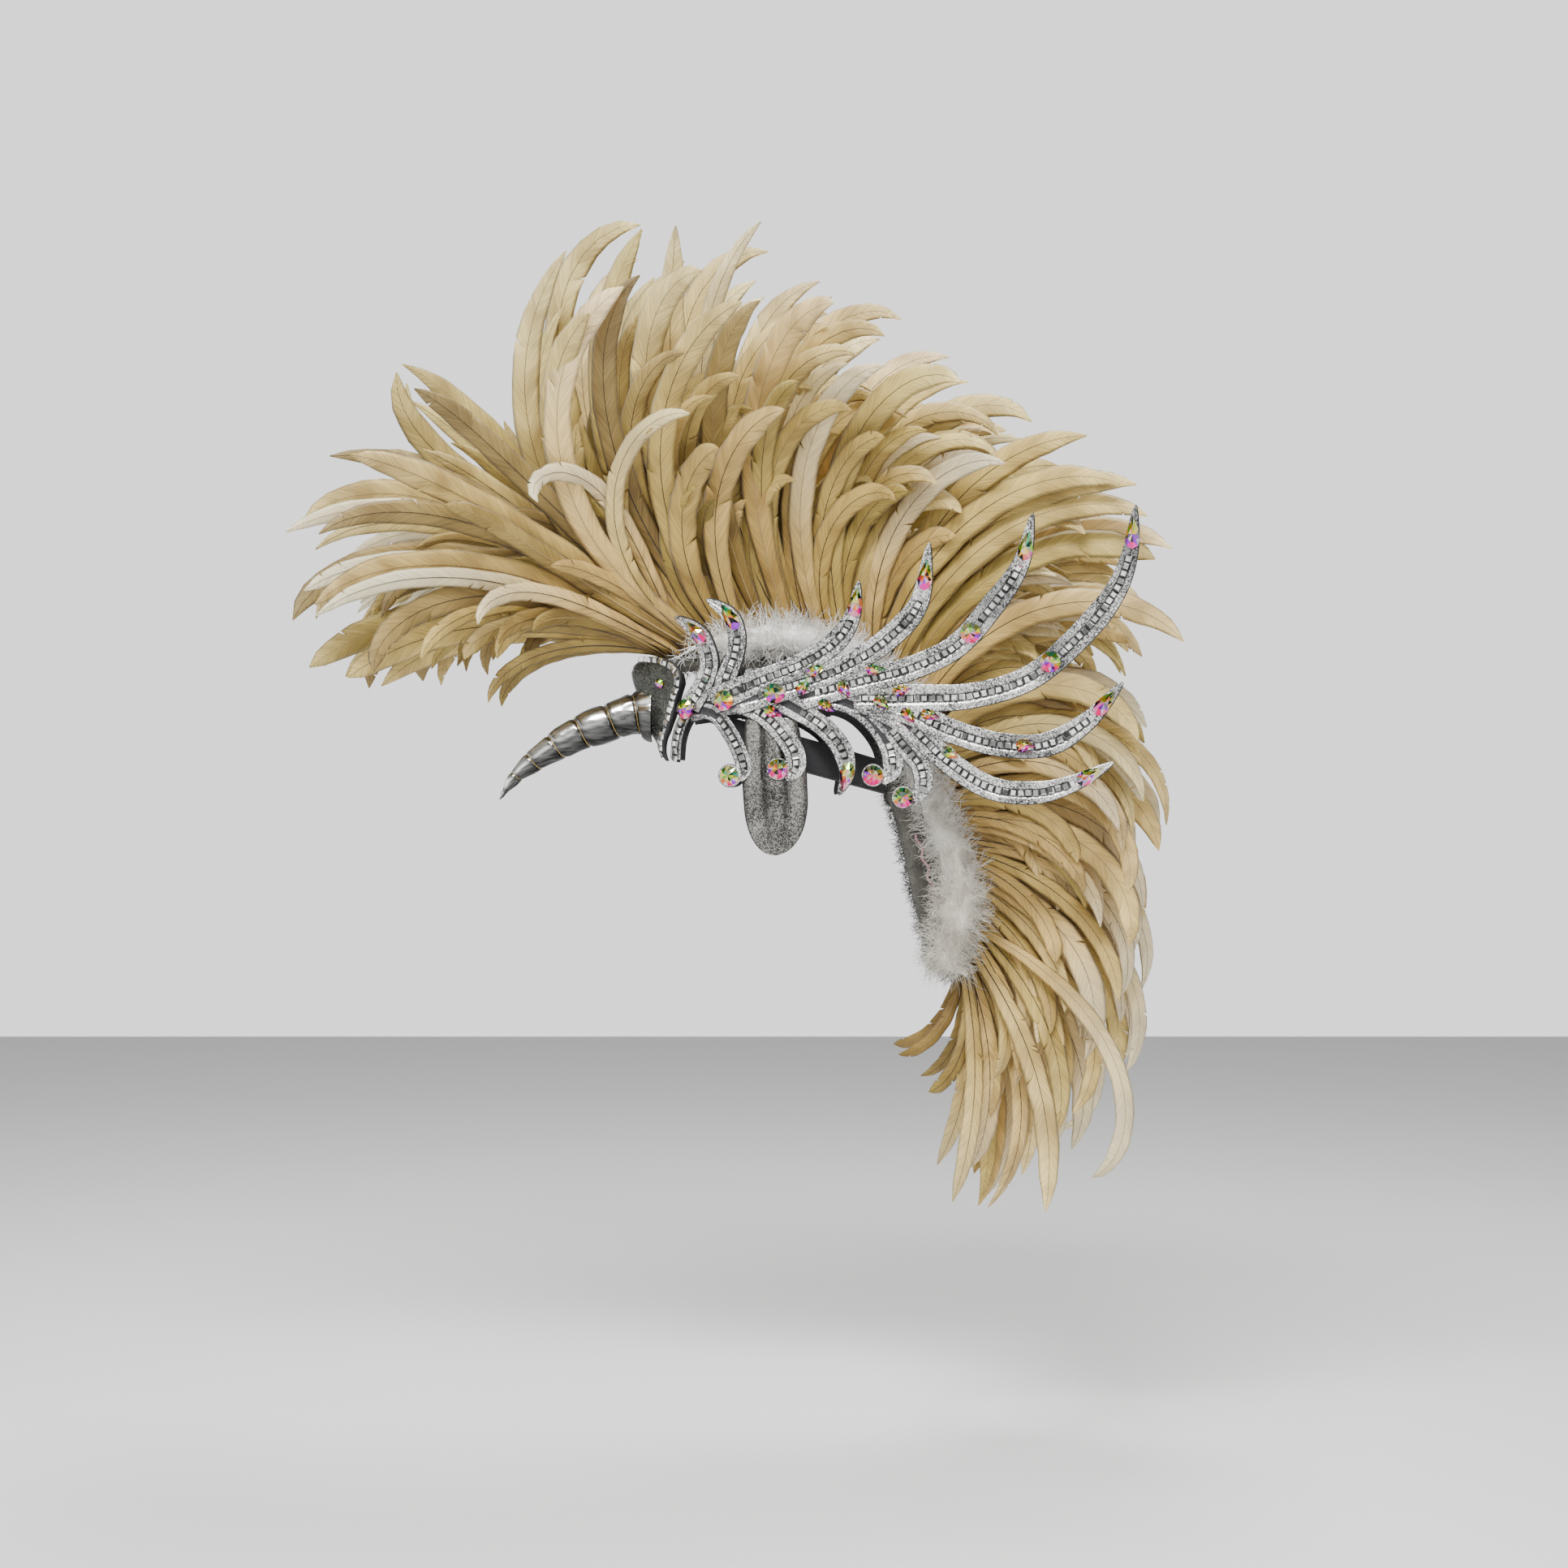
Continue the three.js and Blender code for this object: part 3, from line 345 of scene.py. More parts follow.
def fibre_tree():
    """Fine hairs on a surface: each is a bent tapering strand, and a slow noise stirs them."""
    tree, enter, leave = new_tree("fibres", {
        "Density": "Float", "Length": "Float", "Thickness": "Float", "Spread": "Float", "Stir": "Float",
        "Seed": "Int", "Segments": "Int", "Material": "Material"})
    spots = add_node(tree, "GeometryNodeDistributePointsOnFaces",
                     {"Mesh": enter["Geometry"], "Density": enter["Density"], "Seed": enter["Seed"]})
    bow = add_node(tree, "GeometryNodeCurveQuadraticBezier",
                   {"Resolution": enter["Segments"], "Start": (0, 0, 0), "Middle": (0.1, 0, 0.55),
                    "End": (0.5, 0.16, 0.86)})
    ring = add_node(tree, "GeometryNodeCurvePrimitiveCircle", {"Resolution": 3})
    thin = sums(tree, "DIVIDE", enter["Thickness"], enter["Length"])
    tree.links.new(thin, ring.inputs["Radius"])
    share = add_node(tree, "GeometryNodeSplineParameter").outputs["Factor"]
    taper = add_node(tree, "ShaderNodeMapRange", {"Value": share, "To Min": 1.0, "To Max": 0.25})
    strand = add_node(tree, "GeometryNodeCurveToMesh",
                      {"Curve": bow.outputs[0], "Profile Curve": ring.outputs[0], "Scale": taper.outputs[0],
                       "Fill Caps": True})
    size = add_node(tree, "FunctionNodeRandomValue", {2: 0.55, 3: 1.25, "Seed": 3}, data_type="FLOAT")
    long = sums(tree, "MULTIPLY", size.outputs[1], enter["Length"])
    placed = add_node(tree, "GeometryNodeInstanceOnPoints",
                      {"Points": spots.outputs["Points"], "Instance": strand.outputs[0],
                       "Rotation": spots.outputs["Rotation"], "Scale": long})
    lean = add_node(tree, "FunctionNodeRandomValue",
                    {0: (-1, -1, -math.pi), 1: (1, 1, math.pi), "Seed": 5}, data_type="FLOAT_VECTOR")
    amount = add_node(tree, "ShaderNodeCombineXYZ", {0: enter["Spread"], 1: enter["Spread"], 2: 1.0})
    tip = vector_sums(tree, "MULTIPLY", lean.outputs[0], amount.outputs[0])
    turned = add_node(tree, "GeometryNodeRotateInstances",
                      {"Instances": placed.outputs[0], "Rotation": tip})
    real = add_node(tree, "GeometryNodeRealizeInstances", {0: turned.outputs[0]})
    stir = add_node(tree, "ShaderNodeTexNoise", {"Scale": 55.0, "Detail": 2.0})
    middle = vector_sums(tree, "SUBTRACT", stir.outputs["Color"], (0.5, 0.5, 0.5))
    push = scaled(tree, middle, enter["Stir"])
    stirred = add_node(tree, "GeometryNodeSetPosition", {"Geometry": real.outputs[0], "Offset": push})
    tree.links.new(with_material(tree, stirred.outputs[0], enter["Material"]), leave["Geometry"])
    return tree


fibres = fibre_tree()
plush, tree, shader = new_finish("grey white plush", Roughness=1.0, Sheen_Weight=0.1,
                                 Sheen_Roughness=0.6)
place = object_place(tree)
nap = blended(tree, 0.6, grain(tree, place, 900), grain(tree, place, 45))
colour_in(tree, shader, nap, [(0.38, (0.03, 0.028, 0.023)), (0.66, (0.135, 0.128, 0.108))])
raised(tree, shader, nap, 0.8, 0.002)


def spine_pad():
    STEPS = 110
    SIDES = 28
    PLUMP = 3.2
    share = np.linspace(0, 1, STEPS)
    outer, inner, normal, half = spine_at(share)
    middle = (outer + inner) / 2
    deep = np.linalg.norm(outer - inner, axis=1) / 2
    turn = full_turn(SIDES)
    square = (np.abs(np.cos(turn)) ** PLUMP + np.abs(np.sin(turn)) ** PLUMP) ** (-1 / PLUMP)
    ends = np.minimum(1, np.sqrt(np.clip(np.minimum(share, 1 - share) / 0.012, 0.02, 1)))
    x = (half * ends)[:, None] * square * np.cos(turn)
    rise = (deep * ends)[:, None] * square * np.sin(turn)
    points = middle[:, None] + rise[..., None] * normal[:, None]
    points[..., 0] = x
    return add_piece("spine_plush_cover", points, capped(STEPS, SIDES), [plush])


spine = spine_pad()
nap_hairs = grow(spine, fibres, "spine_plush_nap", {
    "Density": 85000.0, "Length": 9 * MM, "Thickness": 0.3 * MM, "Spread": 0.9, "Stir": 12 * MM,
    "Seed": 11, "Segments": 2, "Material": plush}, keep_source=True)
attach(spine, "root")
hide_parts("crest_spine")
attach(nap_hairs, "root")

pink, tree, shader = new_finish("pink seam thread", Roughness=0.5)
colour_in(tree, shader, grain(tree, object_place(tree), 500),
          [(0.3, (0.35, 0.13, 0.17)), (0.7, (0.6, 0.3, 0.34))])
both_sides = ((1, "left"), (-1, "right"))


def side_seam(side, name):
    STEPS = 70
    SIDES = 6
    THREAD = 1.1 * MM
    FIRST = 0.69
    LAST = 0.85
    PROUD = 4.8 * MM
    share = np.linspace(FIRST, LAST, STEPS)
    outer, inner, normal, half = spine_at(share)
    line = inner + (outer - inner) * (0.5 + 0.05 * np.sin(share * 160))[:, None]
    line[:, 0] = side * (half + PROUD)
    turn = full_turn(SIDES)
    points = line[:, None] + normal[:, None] * (THREAD * np.cos(turn))[:, None]
    points[..., 0] += THREAD * np.sin(turn)
    return add_piece("spine_seam_" + name, points, capped(STEPS, SIDES), [pink])


for side, name in both_sides:
    seam = side_seam(side, name)
    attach(seam, "root")


# Marabou. A string of white down is sewn along each edge of the spine, its fluff standing out
# all round in soft clumps that hide the feathers' roots.
MARABOU_RADIUS = 24 * MM
MARABOU_SPREAD = 42 * MM
DOWN_LENGTH = 19 * MM
# Along the spine: place, radius, spread, lift
marabou_rows = [(0.02, 0.45, 0.55, 0.0), (0.075, 0.6, 0.66, 0.6), (0.15, 0.88, 0.9, 0.62),
                (0.25, 1.0, 1.0, 0.62), (0.55, 1.0, 1.0, 0.5), (0.74, 1.0, 1.0, 0.4),
                (0.86, 1.2, 0.95, 0.0), (0.95, 1.15, 0.85, -0.35), (1.0, 0.8, 0.7, -0.3)]
down, tree, shader = new_finish("white marabou down", Roughness=1.0, Sheen_Weight=0.5,
                                Sheen_Roughness=0.5, Subsurface_Weight=0.15, Subsurface_Scale=0.01)
shader.inputs["Subsurface Radius"].default_value = (1.0, 0.8, 0.7)
place = object_place(tree)
white = colour_steps(tree, grain(tree, place, 38),
                     [(0.36, (0.6, 0.57, 0.52)), (0.5, (0.88, 0.86, 0.81)), (0.62, (0.98, 0.97, 0.94))])
# Painted shade: the down is greyed below the crown, darker the lower it hangs.
level = add_node(tree, "ShaderNodeSeparateXYZ", {0: place}).outputs[2]
painted_low_shade = sums(tree, "MULTIPLY", level, -8.0, clamp=True)
shaded_white = blended(tree, 1.0, white, (0.66, 0.63, 0.56, 1), "MULTIPLY")
tree.links.new(blended(tree, painted_low_shade, white, shaded_white), shader.inputs["Base Color"])


def down_core(side):
    STEPS = 60
    SIDES = 20
    share = np.linspace(marabou_rows[0][0], marabou_rows[-1][0], STEPS)
    outer, _, normal, _ = spine_at(share)
    radius = eased(marabou_rows, share, 1) * MARABOU_RADIUS
    centre = outer + normal * (eased(marabou_rows, share, 3) * radius)[:, None]
    centre[:, 0] = side * eased(marabou_rows, share, 2) * MARABOU_SPREAD
    from_end = np.minimum(np.arange(STEPS), STEPS - 1 - np.arange(STEPS))
    edge = np.minimum(1, np.sqrt(np.clip(from_end / 4, 0.05, 1)))
    core = np.maximum(1.2 * MM, radius - DOWN_LENGTH * 0.62) * edge
    turn = full_turn(SIDES)
    lumps = 1 + 0.16 * np.sin(share[:, None] * 90 + 3 * turn) * np.sin(share[:, None] * 41 - turn * 2)
    reach = core[:, None] * lumps
    points = centre[:, None] + (reach * np.sin(turn))[..., None] * normal[:, None]
    points[..., 0] = centre[:, 0, None] + reach * np.cos(turn)
    return add_piece("down_core", points, capped(STEPS, SIDES), [down])


for side, name in both_sides:
    core = down_core(side)
    fluff = grow(core, fibres, "marabou_fluff_" + name, {
        "Density": 185000.0, "Length": DOWN_LENGTH, "Thickness": 0.3 * MM, "Spread": 0.95, "Stir": 20 * MM,
        "Seed": 21 + side, "Segments": 4, "Material": down}, keep_source=True)
    core.name = "marabou_core_" + name
    for piece in (core, fluff):
        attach(piece, "root")
    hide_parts("marabou_" + name)


# Feather crest. Bleached rooster tail feathers, sewn by their quills to tapes in rows of four
# with shorter ones between, splay from the spine and curl over like sickles. Each is a thin vane
# of barbs, split here and there, on a dark quill.
CREST_REACH = 450 * MM
FEATHER_WIDTH = 29 * MM
TAPE_WIDTH = 20 * MM
TAPE_HEIGHT = 6 * MM
VANE_THICKNESS = 0.35 * MM
QUILL_RADIUS = 0.6 * MM
SHINGLE = -14.0
HOOK_AT_TIP = 7
HOOK_EARLIER = 5
PALE = 0.94
LOOSE_SPLAY = 16
LOOSE_LEAN = 7
LOOSE_FLARE = 8
# Rows along the spine: place, back, up, bend, splay, flare
crest_rows = [
    (0.01, -0.88, 0.14, 80, 16, 26), (0.032, -1.01, 0.27, 64, 16, 26), (0.054, -1.0, 0.45, 46, 16, 26),
    (0.076, -0.93, 0.62, 16, 16, 28), (0.098, -0.79, 0.78, -12, 15, 32), (0.12, -0.43, 0.94, -94, 15, 38),
    (0.145, -0.29, 1.05, -72, 15, 44), (0.18, -0.18, 1.03, -52, 15, 48), (0.22, -0.03, 1.0, -60, 15, 48),
    (0.265, 0.1, 0.94, -68, 15, 44), (0.31, 0.24, 0.87, -78, 15, 40), (0.355, 0.37, 0.79, -84, 14, 34),
    (0.405, 0.51, 0.67, -92, 14, 26), (0.455, 0.66, 0.48, -98, 13, 18), (0.51, 0.76, 0.26, -104, 12, 14),
    (0.565, 0.79, 0.03, -110, 12, 10), (0.625, 0.78, -0.2, -108, 12, 10), (0.69, 0.76, -0.43, -100, 12, 12),
    (0.77, 0.7, -0.67, -88, 12, 12), (0.86, 0.58, -0.84, -66, 12, 12), (0.95, 0.41, -0.94, -44, 12, 12)]
# Side by side in a row: lean out, reach
lanes = [(-1, 0.84), (-0.35, 0.97), (0.35, 0.97), (1, 0.84)]
crest_sections = [("front", 0, 6), ("crown", 6, 9), ("rear", 9, 13), ("back", 13, 16), ("tail", 16, 21)]
# Short feathers between the rows: first row, last row, how many a row, shortest, longest
fill_rows = [(0, 5, 12, 0.4, 0.85), (5, 9, 13, 0.4, 0.84), (9, 12, 20, 0.45, 1.0), (12, 16, 25, 0.5, 1.0),
             (16, 21, 25, 0.5, 1.02)]
# Feathers that curl free of the rest, on both sides alike: place on the spine, lean out, back,
# up, bend, hook, flare, shade
loose_curls = [
    (0.03, 0.9, -0.579, 0.236, 20, 110, 10, 0.97), (0.05, 0.8, -0.46, 0.47, 0, 210, 12, 0.97),
    (0.1, 0.8, -0.164, 0.631, -140, -30, 20, 0.9), (0.12, 0.7, -0.286, 0.861, -118, -15, 14, 0.8),
    (0.15, 0.9, -0.0625, 0.823, -100, -20, 24, 0.6), (0.17, 1.0, 0.016, 0.634, -96, -30, 30, 0.7),
    (0.14, 1.0, -0.11, 0.5665, -96, -30, 34, 0.55), (0.02, 0.3, -0.571, 0.088, 60, 40, 8, 0.15),
    (0.02, 0.6, -0.901, 0.295, 55, 20, 14, 0.98), (0.015, 0.8, -0.873, 0.244, 60, 20, 14, 0.98),
    (0.025, 0.5, -0.802, 0.275, 50, 45, 14, 0.99), (0.015, 0.4, -0.834, 0.134, 60, 0, 10, 0.6),
    (0.02, 0.2, -0.909, 0.154, 66, 0, 12, 0.4), (0.05, 0.6, -0.93, 0.405, 60, 20, 12, 0.95),
    (0.08, -0.3, -0.76, 0.75, 10, -70, 2, 0.3), (0.11, 0.4, -0.4, 0.94, -105, 0, 14, 0.5),
    (0.13, 0.2, -0.26, 1.0, -80, 0, 10, 0.4), (0.16, 0.5, -0.19, 0.985, -40, 10, 20, 0.75),
    (0.2, 0.5, -0.028, 0.985, -60, -25, 24, 0.9), (0.42, 0.4, 0.6, 0.6, -80, -10, 14, 0.6),
    (0.4, 0.8, 0.66, 0.5, -85, -20, 6, 0.6), (0.43, 0.8, 0.71, 0.44, -85, -20, 6, 0.5),
    (0.45, 0.7, 0.73, 0.36, -90, -15, 6, 0.4),
    (0.45, 0.6, 0.69, 0.5, -90, -10, 14, 0.5), (0.48, 0.5, 0.76, 0.38, -96, -20, 12, 0.8),
    (0.5, 0.7, 0.78, 0.2, -110, -10, 12, 0.7), (0.985, 0.6, 0.242, -0.61, -75, -20, 8, 0.1),
    (0.98, 0.8, 0.3, -0.68, -60, -30, 8, 0.15), (0.96, 0.9, 0.34, -0.88, -36, 0, 12, 0.9),
    (0.9, 0.7, 0.52, -0.9, -50, 0, 10, 0.85), (0.88, 0.9, 0.6, -0.82, -80, -60, 14, 0.95)]
chance = np.random.default_rng(4)


def scatter(n, kind):
    return 2 * ((n * 0.618034 + kind * 0.377) % 1) - 1


def vane_share(share, bluntness):
    grown = 0.24 + 0.76 * np.sin(np.pi / 2 * np.minimum(1, share / 0.5))
    over = np.maximum(0, share - 0.6) / 0.4
    return grown * np.maximum(0.02, np.cos(np.pi / 2 * over ** bluntness)) ** 0.75


def quill_frame(plan, share):
    """The quill's heading, the vane's flat side and its width's direction."""
    heading = plan["heading"] + plan["bend"] * share ** 1.4 + plan["hook"] * share ** plan["late"]
    lean = plan["splay"] + plan["flare"] * share ** 2
    tangent = np.stack([np.sin(lean), np.cos(lean) * np.cos(heading), np.cos(lean) * np.sin(heading)], -1)
    flat = np.stack([np.cos(lean), -np.sin(lean) * np.cos(heading), -np.sin(lean) * np.sin(heading)], -1)
    across = np.cross(flat, tangent)
    roll = (plan["roll"] + plan["twist"] * share ** 2)[:, None]
    rolled = flat * np.cos(roll) + np.cross(tangent, flat) * np.sin(roll)
    return tangent, rolled, across * np.cos(roll) + np.cross(tangent, across) * np.sin(roll)


def aimed(plan, root, tip):
    """Turns and scales a plan so that, seen from the side, it ends at the tip."""
    middles = (np.arange(24) + 0.5) / 24
    unit = quill_frame({**plan, "heading": 0.0}, middles)[0].mean(axis=0)
    heading = math.atan2(tip[2] - root[2], tip[1] - root[1]) - math.atan2(unit[2], unit[1])
    length = math.hypot(tip[2] - root[2], tip[1] - root[1]) / math.hypot(unit[2], unit[1])
    return {**plan, "heading": heading, "length": length}


def feather_plan(row, out, reach, n, loose=0.0):
    """A feather by its row, which may lie between two, and how far out it stands."""
    place, back, up, bend, splay, flare = (
        float(np.interp(row, range(len(crest_rows)), [r[k] for r in crest_rows])) for k in range(6))
    outer, _, normal, _ = spine_at(np.array([np.clip(place + 0.006 * scatter(n, 1), 0.005, 0.99)]))
    root = outer[0] + normal[0] * TAPE_HEIGHT * 0.6
    root[0] = out * TAPE_WIDTH * 0.62 / 2
    tip = np.array([0, back + 0.025 * scatter(n, 2), up + 0.025 * scatter(n, 4)]) * CREST_REACH
    tip = root + (tip - root) * reach * (1 - 0.02 * (1 + scatter(n, 6)))
    hook = np.interp(row, (0, 4, 6, 11, 13, 15), (45, 25, -55, -60, -35, -12))
    # Each row's tone: darker in front and paler towards the tail, partly the tail's paler feathers and partly
    # painted light where the tail is lit.
    shade = np.interp(row, (0, 5, 7, 10, 14, 17), (-0.26, -0.18, 0.02, 0.14, 0.3, 0.52))
    plan = {
        "bend": math.radians(bend + (9 + loose) * scatter(n, 3)),
        "hook": math.radians(hook * (1 + 0.5 * scatter(n, 10))),
        "late": HOOK_AT_TIP,
        "splay": math.radians(splay * out),
        "flare": math.radians(flare * out * (1 + 0.3 * scatter(n, 5))),
        "width": FEATHER_WIDTH * (1 + 0.15 * scatter(n, 7)) * (0.7 if loose else 0.9)
        * np.interp(row, (5, 7, 15, 19), (0.88, 1, 1, 0.78)),
        "roll": np.array(math.radians(SHINGLE)),
        "twist": 0.5 * scatter(n, 8) * min(1.0, loose),
        "shade": np.clip(0.44 + 0.4 * scatter(n, 9) + shade, 0.02, 0.97),
    }
    return root, aimed(plan, root, tip)


quill_points = {}


def lay_quill(section, root, plan):
    """Adds one feather's quill line and what the vane needs to know along it."""
    keys = ("co", "left", "right", "flat", "vane", "shaft", "ends")
    store = quill_points.setdefault(section, {key: [] for key in keys})
    share = np.linspace(0, 1, 22) ** 0.92
    half = plan["width"] / 2
    edges = {-1: [], 1: []}
    for _ in range(chance.integers(1, 5)):
        side = chance.choice([-1, 1])
        edges[side].append((chance.uniform(0.3, 0.97), chance.uniform(0.25, 0.75)))
    slit = 1.3 * MM / plan["length"]
    extra = [place + k * slit for rows in edges.values() for place, _ in rows for k in (-1, 0, 1)]
    share = np.unique(np.clip(np.concatenate([share, extra]), 0, 1))
    fine = np.linspace(0, 1, 121)
    tangent = quill_frame(plan, (fine[:-1] + fine[1:]) / 2)[0]
    line = np.vstack([[0, 0, 0], np.cumsum(tangent, axis=0) / 120]) * plan["length"] + root
    co = np.stack([np.interp(share, fine, line[:, k]) for k in range(3)], -1)
    tangent, flat, across = quill_frame(plan, share)
    width = half * vane_share(share, 1.5 + 2.2 * chance.uniform() ** 3)
    fade = np.minimum(1, share / 0.15) * np.clip((1 - share) / 0.16, 0, 1)
    for side, key in ((-1, "left"), (1, "right")):
        ragged = 1 + 0.05 * np.sin(share * chance.uniform(30, 50) + chance.uniform(0, 6))
        for place, depth in edges[side]:
            ragged = ragged * (1 - depth * np.maximum(0, 1 - np.abs(share - place) / slit))
        reach = (width * ragged)[:, None]
        swept = (0.75 * width * fade)[:, None] * tangent * ragged[:, None]
        store[key].append(across * side * reach + swept - flat * reach * 0.16)
    store["co"].append(co)
    store["flat"].append(flat)
    along = share * plan["length"]
    store["vane"].append(np.stack([width, along, np.full_like(share, plan["shade"])], -1))
    store["shaft"].append(QUILL_RADIUS * (1.25 - share))
    store["ends"].append(len(share))


for name, first, last in crest_sections:
    for row in range(first, last):
        for lane, (out, reach) in enumerate(lanes):
            lay_quill(name, *feather_plan(row, out, reach, row * len(lanes) + lane))
        count, shortest, longest = next(rest for low, high, *rest in fill_rows if low <= row < high)
        for k in range(count):
            out = chance.uniform(-1, 1)
            reach = chance.uniform(shortest, longest) * (1 - 0.13 * out * out)
            between = np.clip(row + chance.uniform(-0.5, 0.5), 0, len(crest_rows) - 1)
            lay_quill(name, *feather_plan(between, out, reach, 100 + row * 20 + k, loose=22))
for place, out, back, up, bend, hook, flare, shade in loose_curls:
    row = float(np.interp(place, [r[0] for r in crest_rows], range(len(crest_rows))))
    name = next(section for section, first, last in crest_sections
                if row < last or last == len(crest_rows))
    width = FEATHER_WIDTH * np.interp(shade, (0.12, 0.3, 0.8, 0.9), (0.4, 0.9, 0.9, 0.6))
    tip = np.array([0, back * CREST_REACH, up * CREST_REACH])
    for side, _ in both_sides:
        root, plan = feather_plan(row, out * side, 1.0, int(place * 1000))
        plan.update(bend=math.radians(bend), hook=math.radians(hook), shade=shade, width=width,
                    late=HOOK_EARLIER if shade > PALE else HOOK_AT_TIP,
                    splay=math.radians(LOOSE_SPLAY * out + LOOSE_LEAN) * side,
                    flare=math.radians(flare + LOOSE_FLARE) * side)
        lay_quill(name, root, aimed(plan, root, tip))


def vane_tree():
    """A vane and a quill along each line: an edge lies where the line's own vectors put it."""
    tree, enter, leave = new_tree("feathers", {
        "Thickness": "Float", "Arch": "Float", "Quill Lift": "Float", "Vane": "Material",
        "Quill": "Material"})

    def stored(name, kind="FLOAT_VECTOR"):
        found = add_node(tree, "GeometryNodeInputNamedAttribute", {"Name": name}, data_type=kind)
        return found.outputs["Attribute"]

    lines = add_node(tree, "GeometryNodeMeshToCurve", {"Mesh": enter["Geometry"]})
    ring = add_node(tree, "GeometryNodeCurvePrimitiveCircle", {"Resolution": 8, "Radius": 1.0})
    rim = add_node(tree, "GeometryNodeStoreNamedAttribute",
                   {"Geometry": ring.outputs[0], "Name": "rim",
                    "Value": add_node(tree, "GeometryNodeInputPosition").outputs[0]},
                   data_type="FLOAT_VECTOR", domain="POINT")
    sheet = add_node(tree, "GeometryNodeCurveToMesh",
                     {"Curve": lines.outputs[0], "Profile Curve": rim.outputs[0], "Scale": 0.0,
                      "Fill Caps": True})
    around = add_node(tree, "ShaderNodeSeparateXYZ", {0: stored("rim")})
    out = sums(tree, "ABSOLUTE", around.outputs[0])
    is_right = sums(tree, "GREATER_THAN", around.outputs[0], 0.0)
    edge = add_node(tree, "ShaderNodeMix", {0: is_right, 4: stored("left"), 5: stored("right")},
                    data_type="VECTOR").outputs[1]
    hollow = sums(tree, "MULTIPLY", out, sums(tree, "SUBTRACT", 1.0, out))
    arch = sums(tree, "MULTIPLY", hollow, enter["Arch"])
    rise = sums(tree, "ADD", sums(tree, "MULTIPLY", around.outputs[1], enter["Thickness"]), arch)
    offset = vector_sums(tree, "ADD", scaled(tree, edge, out), scaled(tree, stored("flat"), rise))
    shaped = add_node(tree, "GeometryNodeSetPosition",
                      {"Geometry": sheet.outputs[0], "Offset": offset})
    where = add_node(tree, "ShaderNodeSeparateXYZ", {0: stored("vane")})
    barb = add_node(tree, "ShaderNodeCombineXYZ",
                    {0: sums(tree, "MULTIPLY", around.outputs[0], where.outputs[0]), 1: where.outputs[1],
                     2: where.outputs[2]})
    marked = add_node(tree, "GeometryNodeStoreNamedAttribute",
                      {"Geometry": shaped.outputs[0], "Name": "vane", "Value": barb.outputs[0]},
                      data_type="FLOAT_VECTOR", domain="POINT")
    dyed = with_material(tree, marked.outputs[0], enter["Vane"])
    wire = add_node(tree, "GeometryNodeCurvePrimitiveCircle", {"Resolution": 3, "Radius": 1.0})
    quill = add_node(tree, "GeometryNodeCurveToMesh",
                     {"Curve": lines.outputs[0], "Profile Curve": wire.outputs[0],
                      "Scale": stored("shaft", "FLOAT"), "Fill Caps": True})
    lifted = add_node(tree, "GeometryNodeSetPosition",
                      {"Geometry": quill.outputs[0],
                       "Offset": scaled(tree, stored("flat"), enter["Quill Lift"])})
    horny = with_material(tree, lifted.outputs[0], enter["Quill"])
    both = add_node(tree, "GeometryNodeJoinGeometry")
    tree.links.new(dyed, both.inputs[0])
    tree.links.new(horny, both.inputs[0])
    real = add_node(tree, "GeometryNodeRealizeInstances", {0: both.outputs[0]})
    tree.links.new(real.outputs[0], leave["Geometry"])
    return tree


def stored_on(tree, name, output="Fac"):
    return add_node(tree, "ShaderNodeAttribute", attribute_name=name).outputs[output]


vane, tree, shader = new_finish("bleached feather vane", Roughness=0.54, Sheen_Weight=0.15,
                                Sheen_Roughness=0.4)
spot = stored_on(tree, "vane", "Vector")
part = add_node(tree, "ShaderNodeSeparateXYZ", {0: spot})
swept = sums(tree, "MULTIPLY", sums(tree, "ABSOLUTE", part.outputs[0]), -1.1)
barb_way = sums(tree, "ADD", part.outputs[1], swept)
barbs = add_node(tree, "ShaderNodeCombineXYZ",
                 {0: sums(tree, "MULTIPLY", part.outputs[0], 0.12), 1: barb_way,
                  2: sums(tree, "MULTIPLY", part.outputs[2], 9.0)}).outputs[0]
streaks = grain(tree, barbs, 480, detail=4.0)
broad = grain(tree, spot, 22, detail=2.0)
age = sums(tree, "MULTIPLY", part.outputs[1], 2.6, clamp=True)
base = colour_steps(tree, age, [(0.0, (0.37, 0.25, 0.06)), (0.3, (0.52, 0.39, 0.115)),
                                (0.7, (0.62, 0.51, 0.2)), (1.0, (0.7, 0.62, 0.34))])
fine_tone = colour_steps(tree, streaks, [(0.32, (0.62, 0.56, 0.46)), (0.68, (1.25, 1.23, 1.15))])
broad_tone = colour_steps(tree, broad, [(0.35, (0.62, 0.55, 0.42)), (0.6, (1.15, 1.15, 1.12))])
streaked = blended(tree, 0.75, base, fine_tone, "MULTIPLY")
aged = blended(tree, 0.75, streaked, broad_tone, "MULTIPLY")
tone = colour_steps(tree, part.outputs[2], [(0.0, (0.4, 0.36, 0.28)), (0.3, (0.9, 0.86, 0.74)),
                                            (0.6, (1.12, 1.09, 1.1)), (0.86, (1.35, 1.37, 1.75))])
dye = colour_steps(tree, sums(tree, "FRACT", sums(tree, "MULTIPLY", part.outputs[2], 11.7)), [
    (0.0, (1.0, 0.98, 0.86)), (0.3, (1.06, 0.98, 1.0)), (0.6, (0.9, 0.9, 0.74)), (1.0, (1.08, 1.07, 1.12))])
toned = blended(tree, 1.0, blended(tree, 0.9, aged, tone, "MULTIPLY"), dye, "MULTIPLY")
beyond_root = sums(tree, "MULTIPLY", sums(tree, "SUBTRACT", part.outputs[1], 0.1), 6.0, clamp=True)
palest = sums(tree, "MULTIPLY", sums(tree, "SUBTRACT", part.outputs[2], 0.86), 7.0, clamp=True)
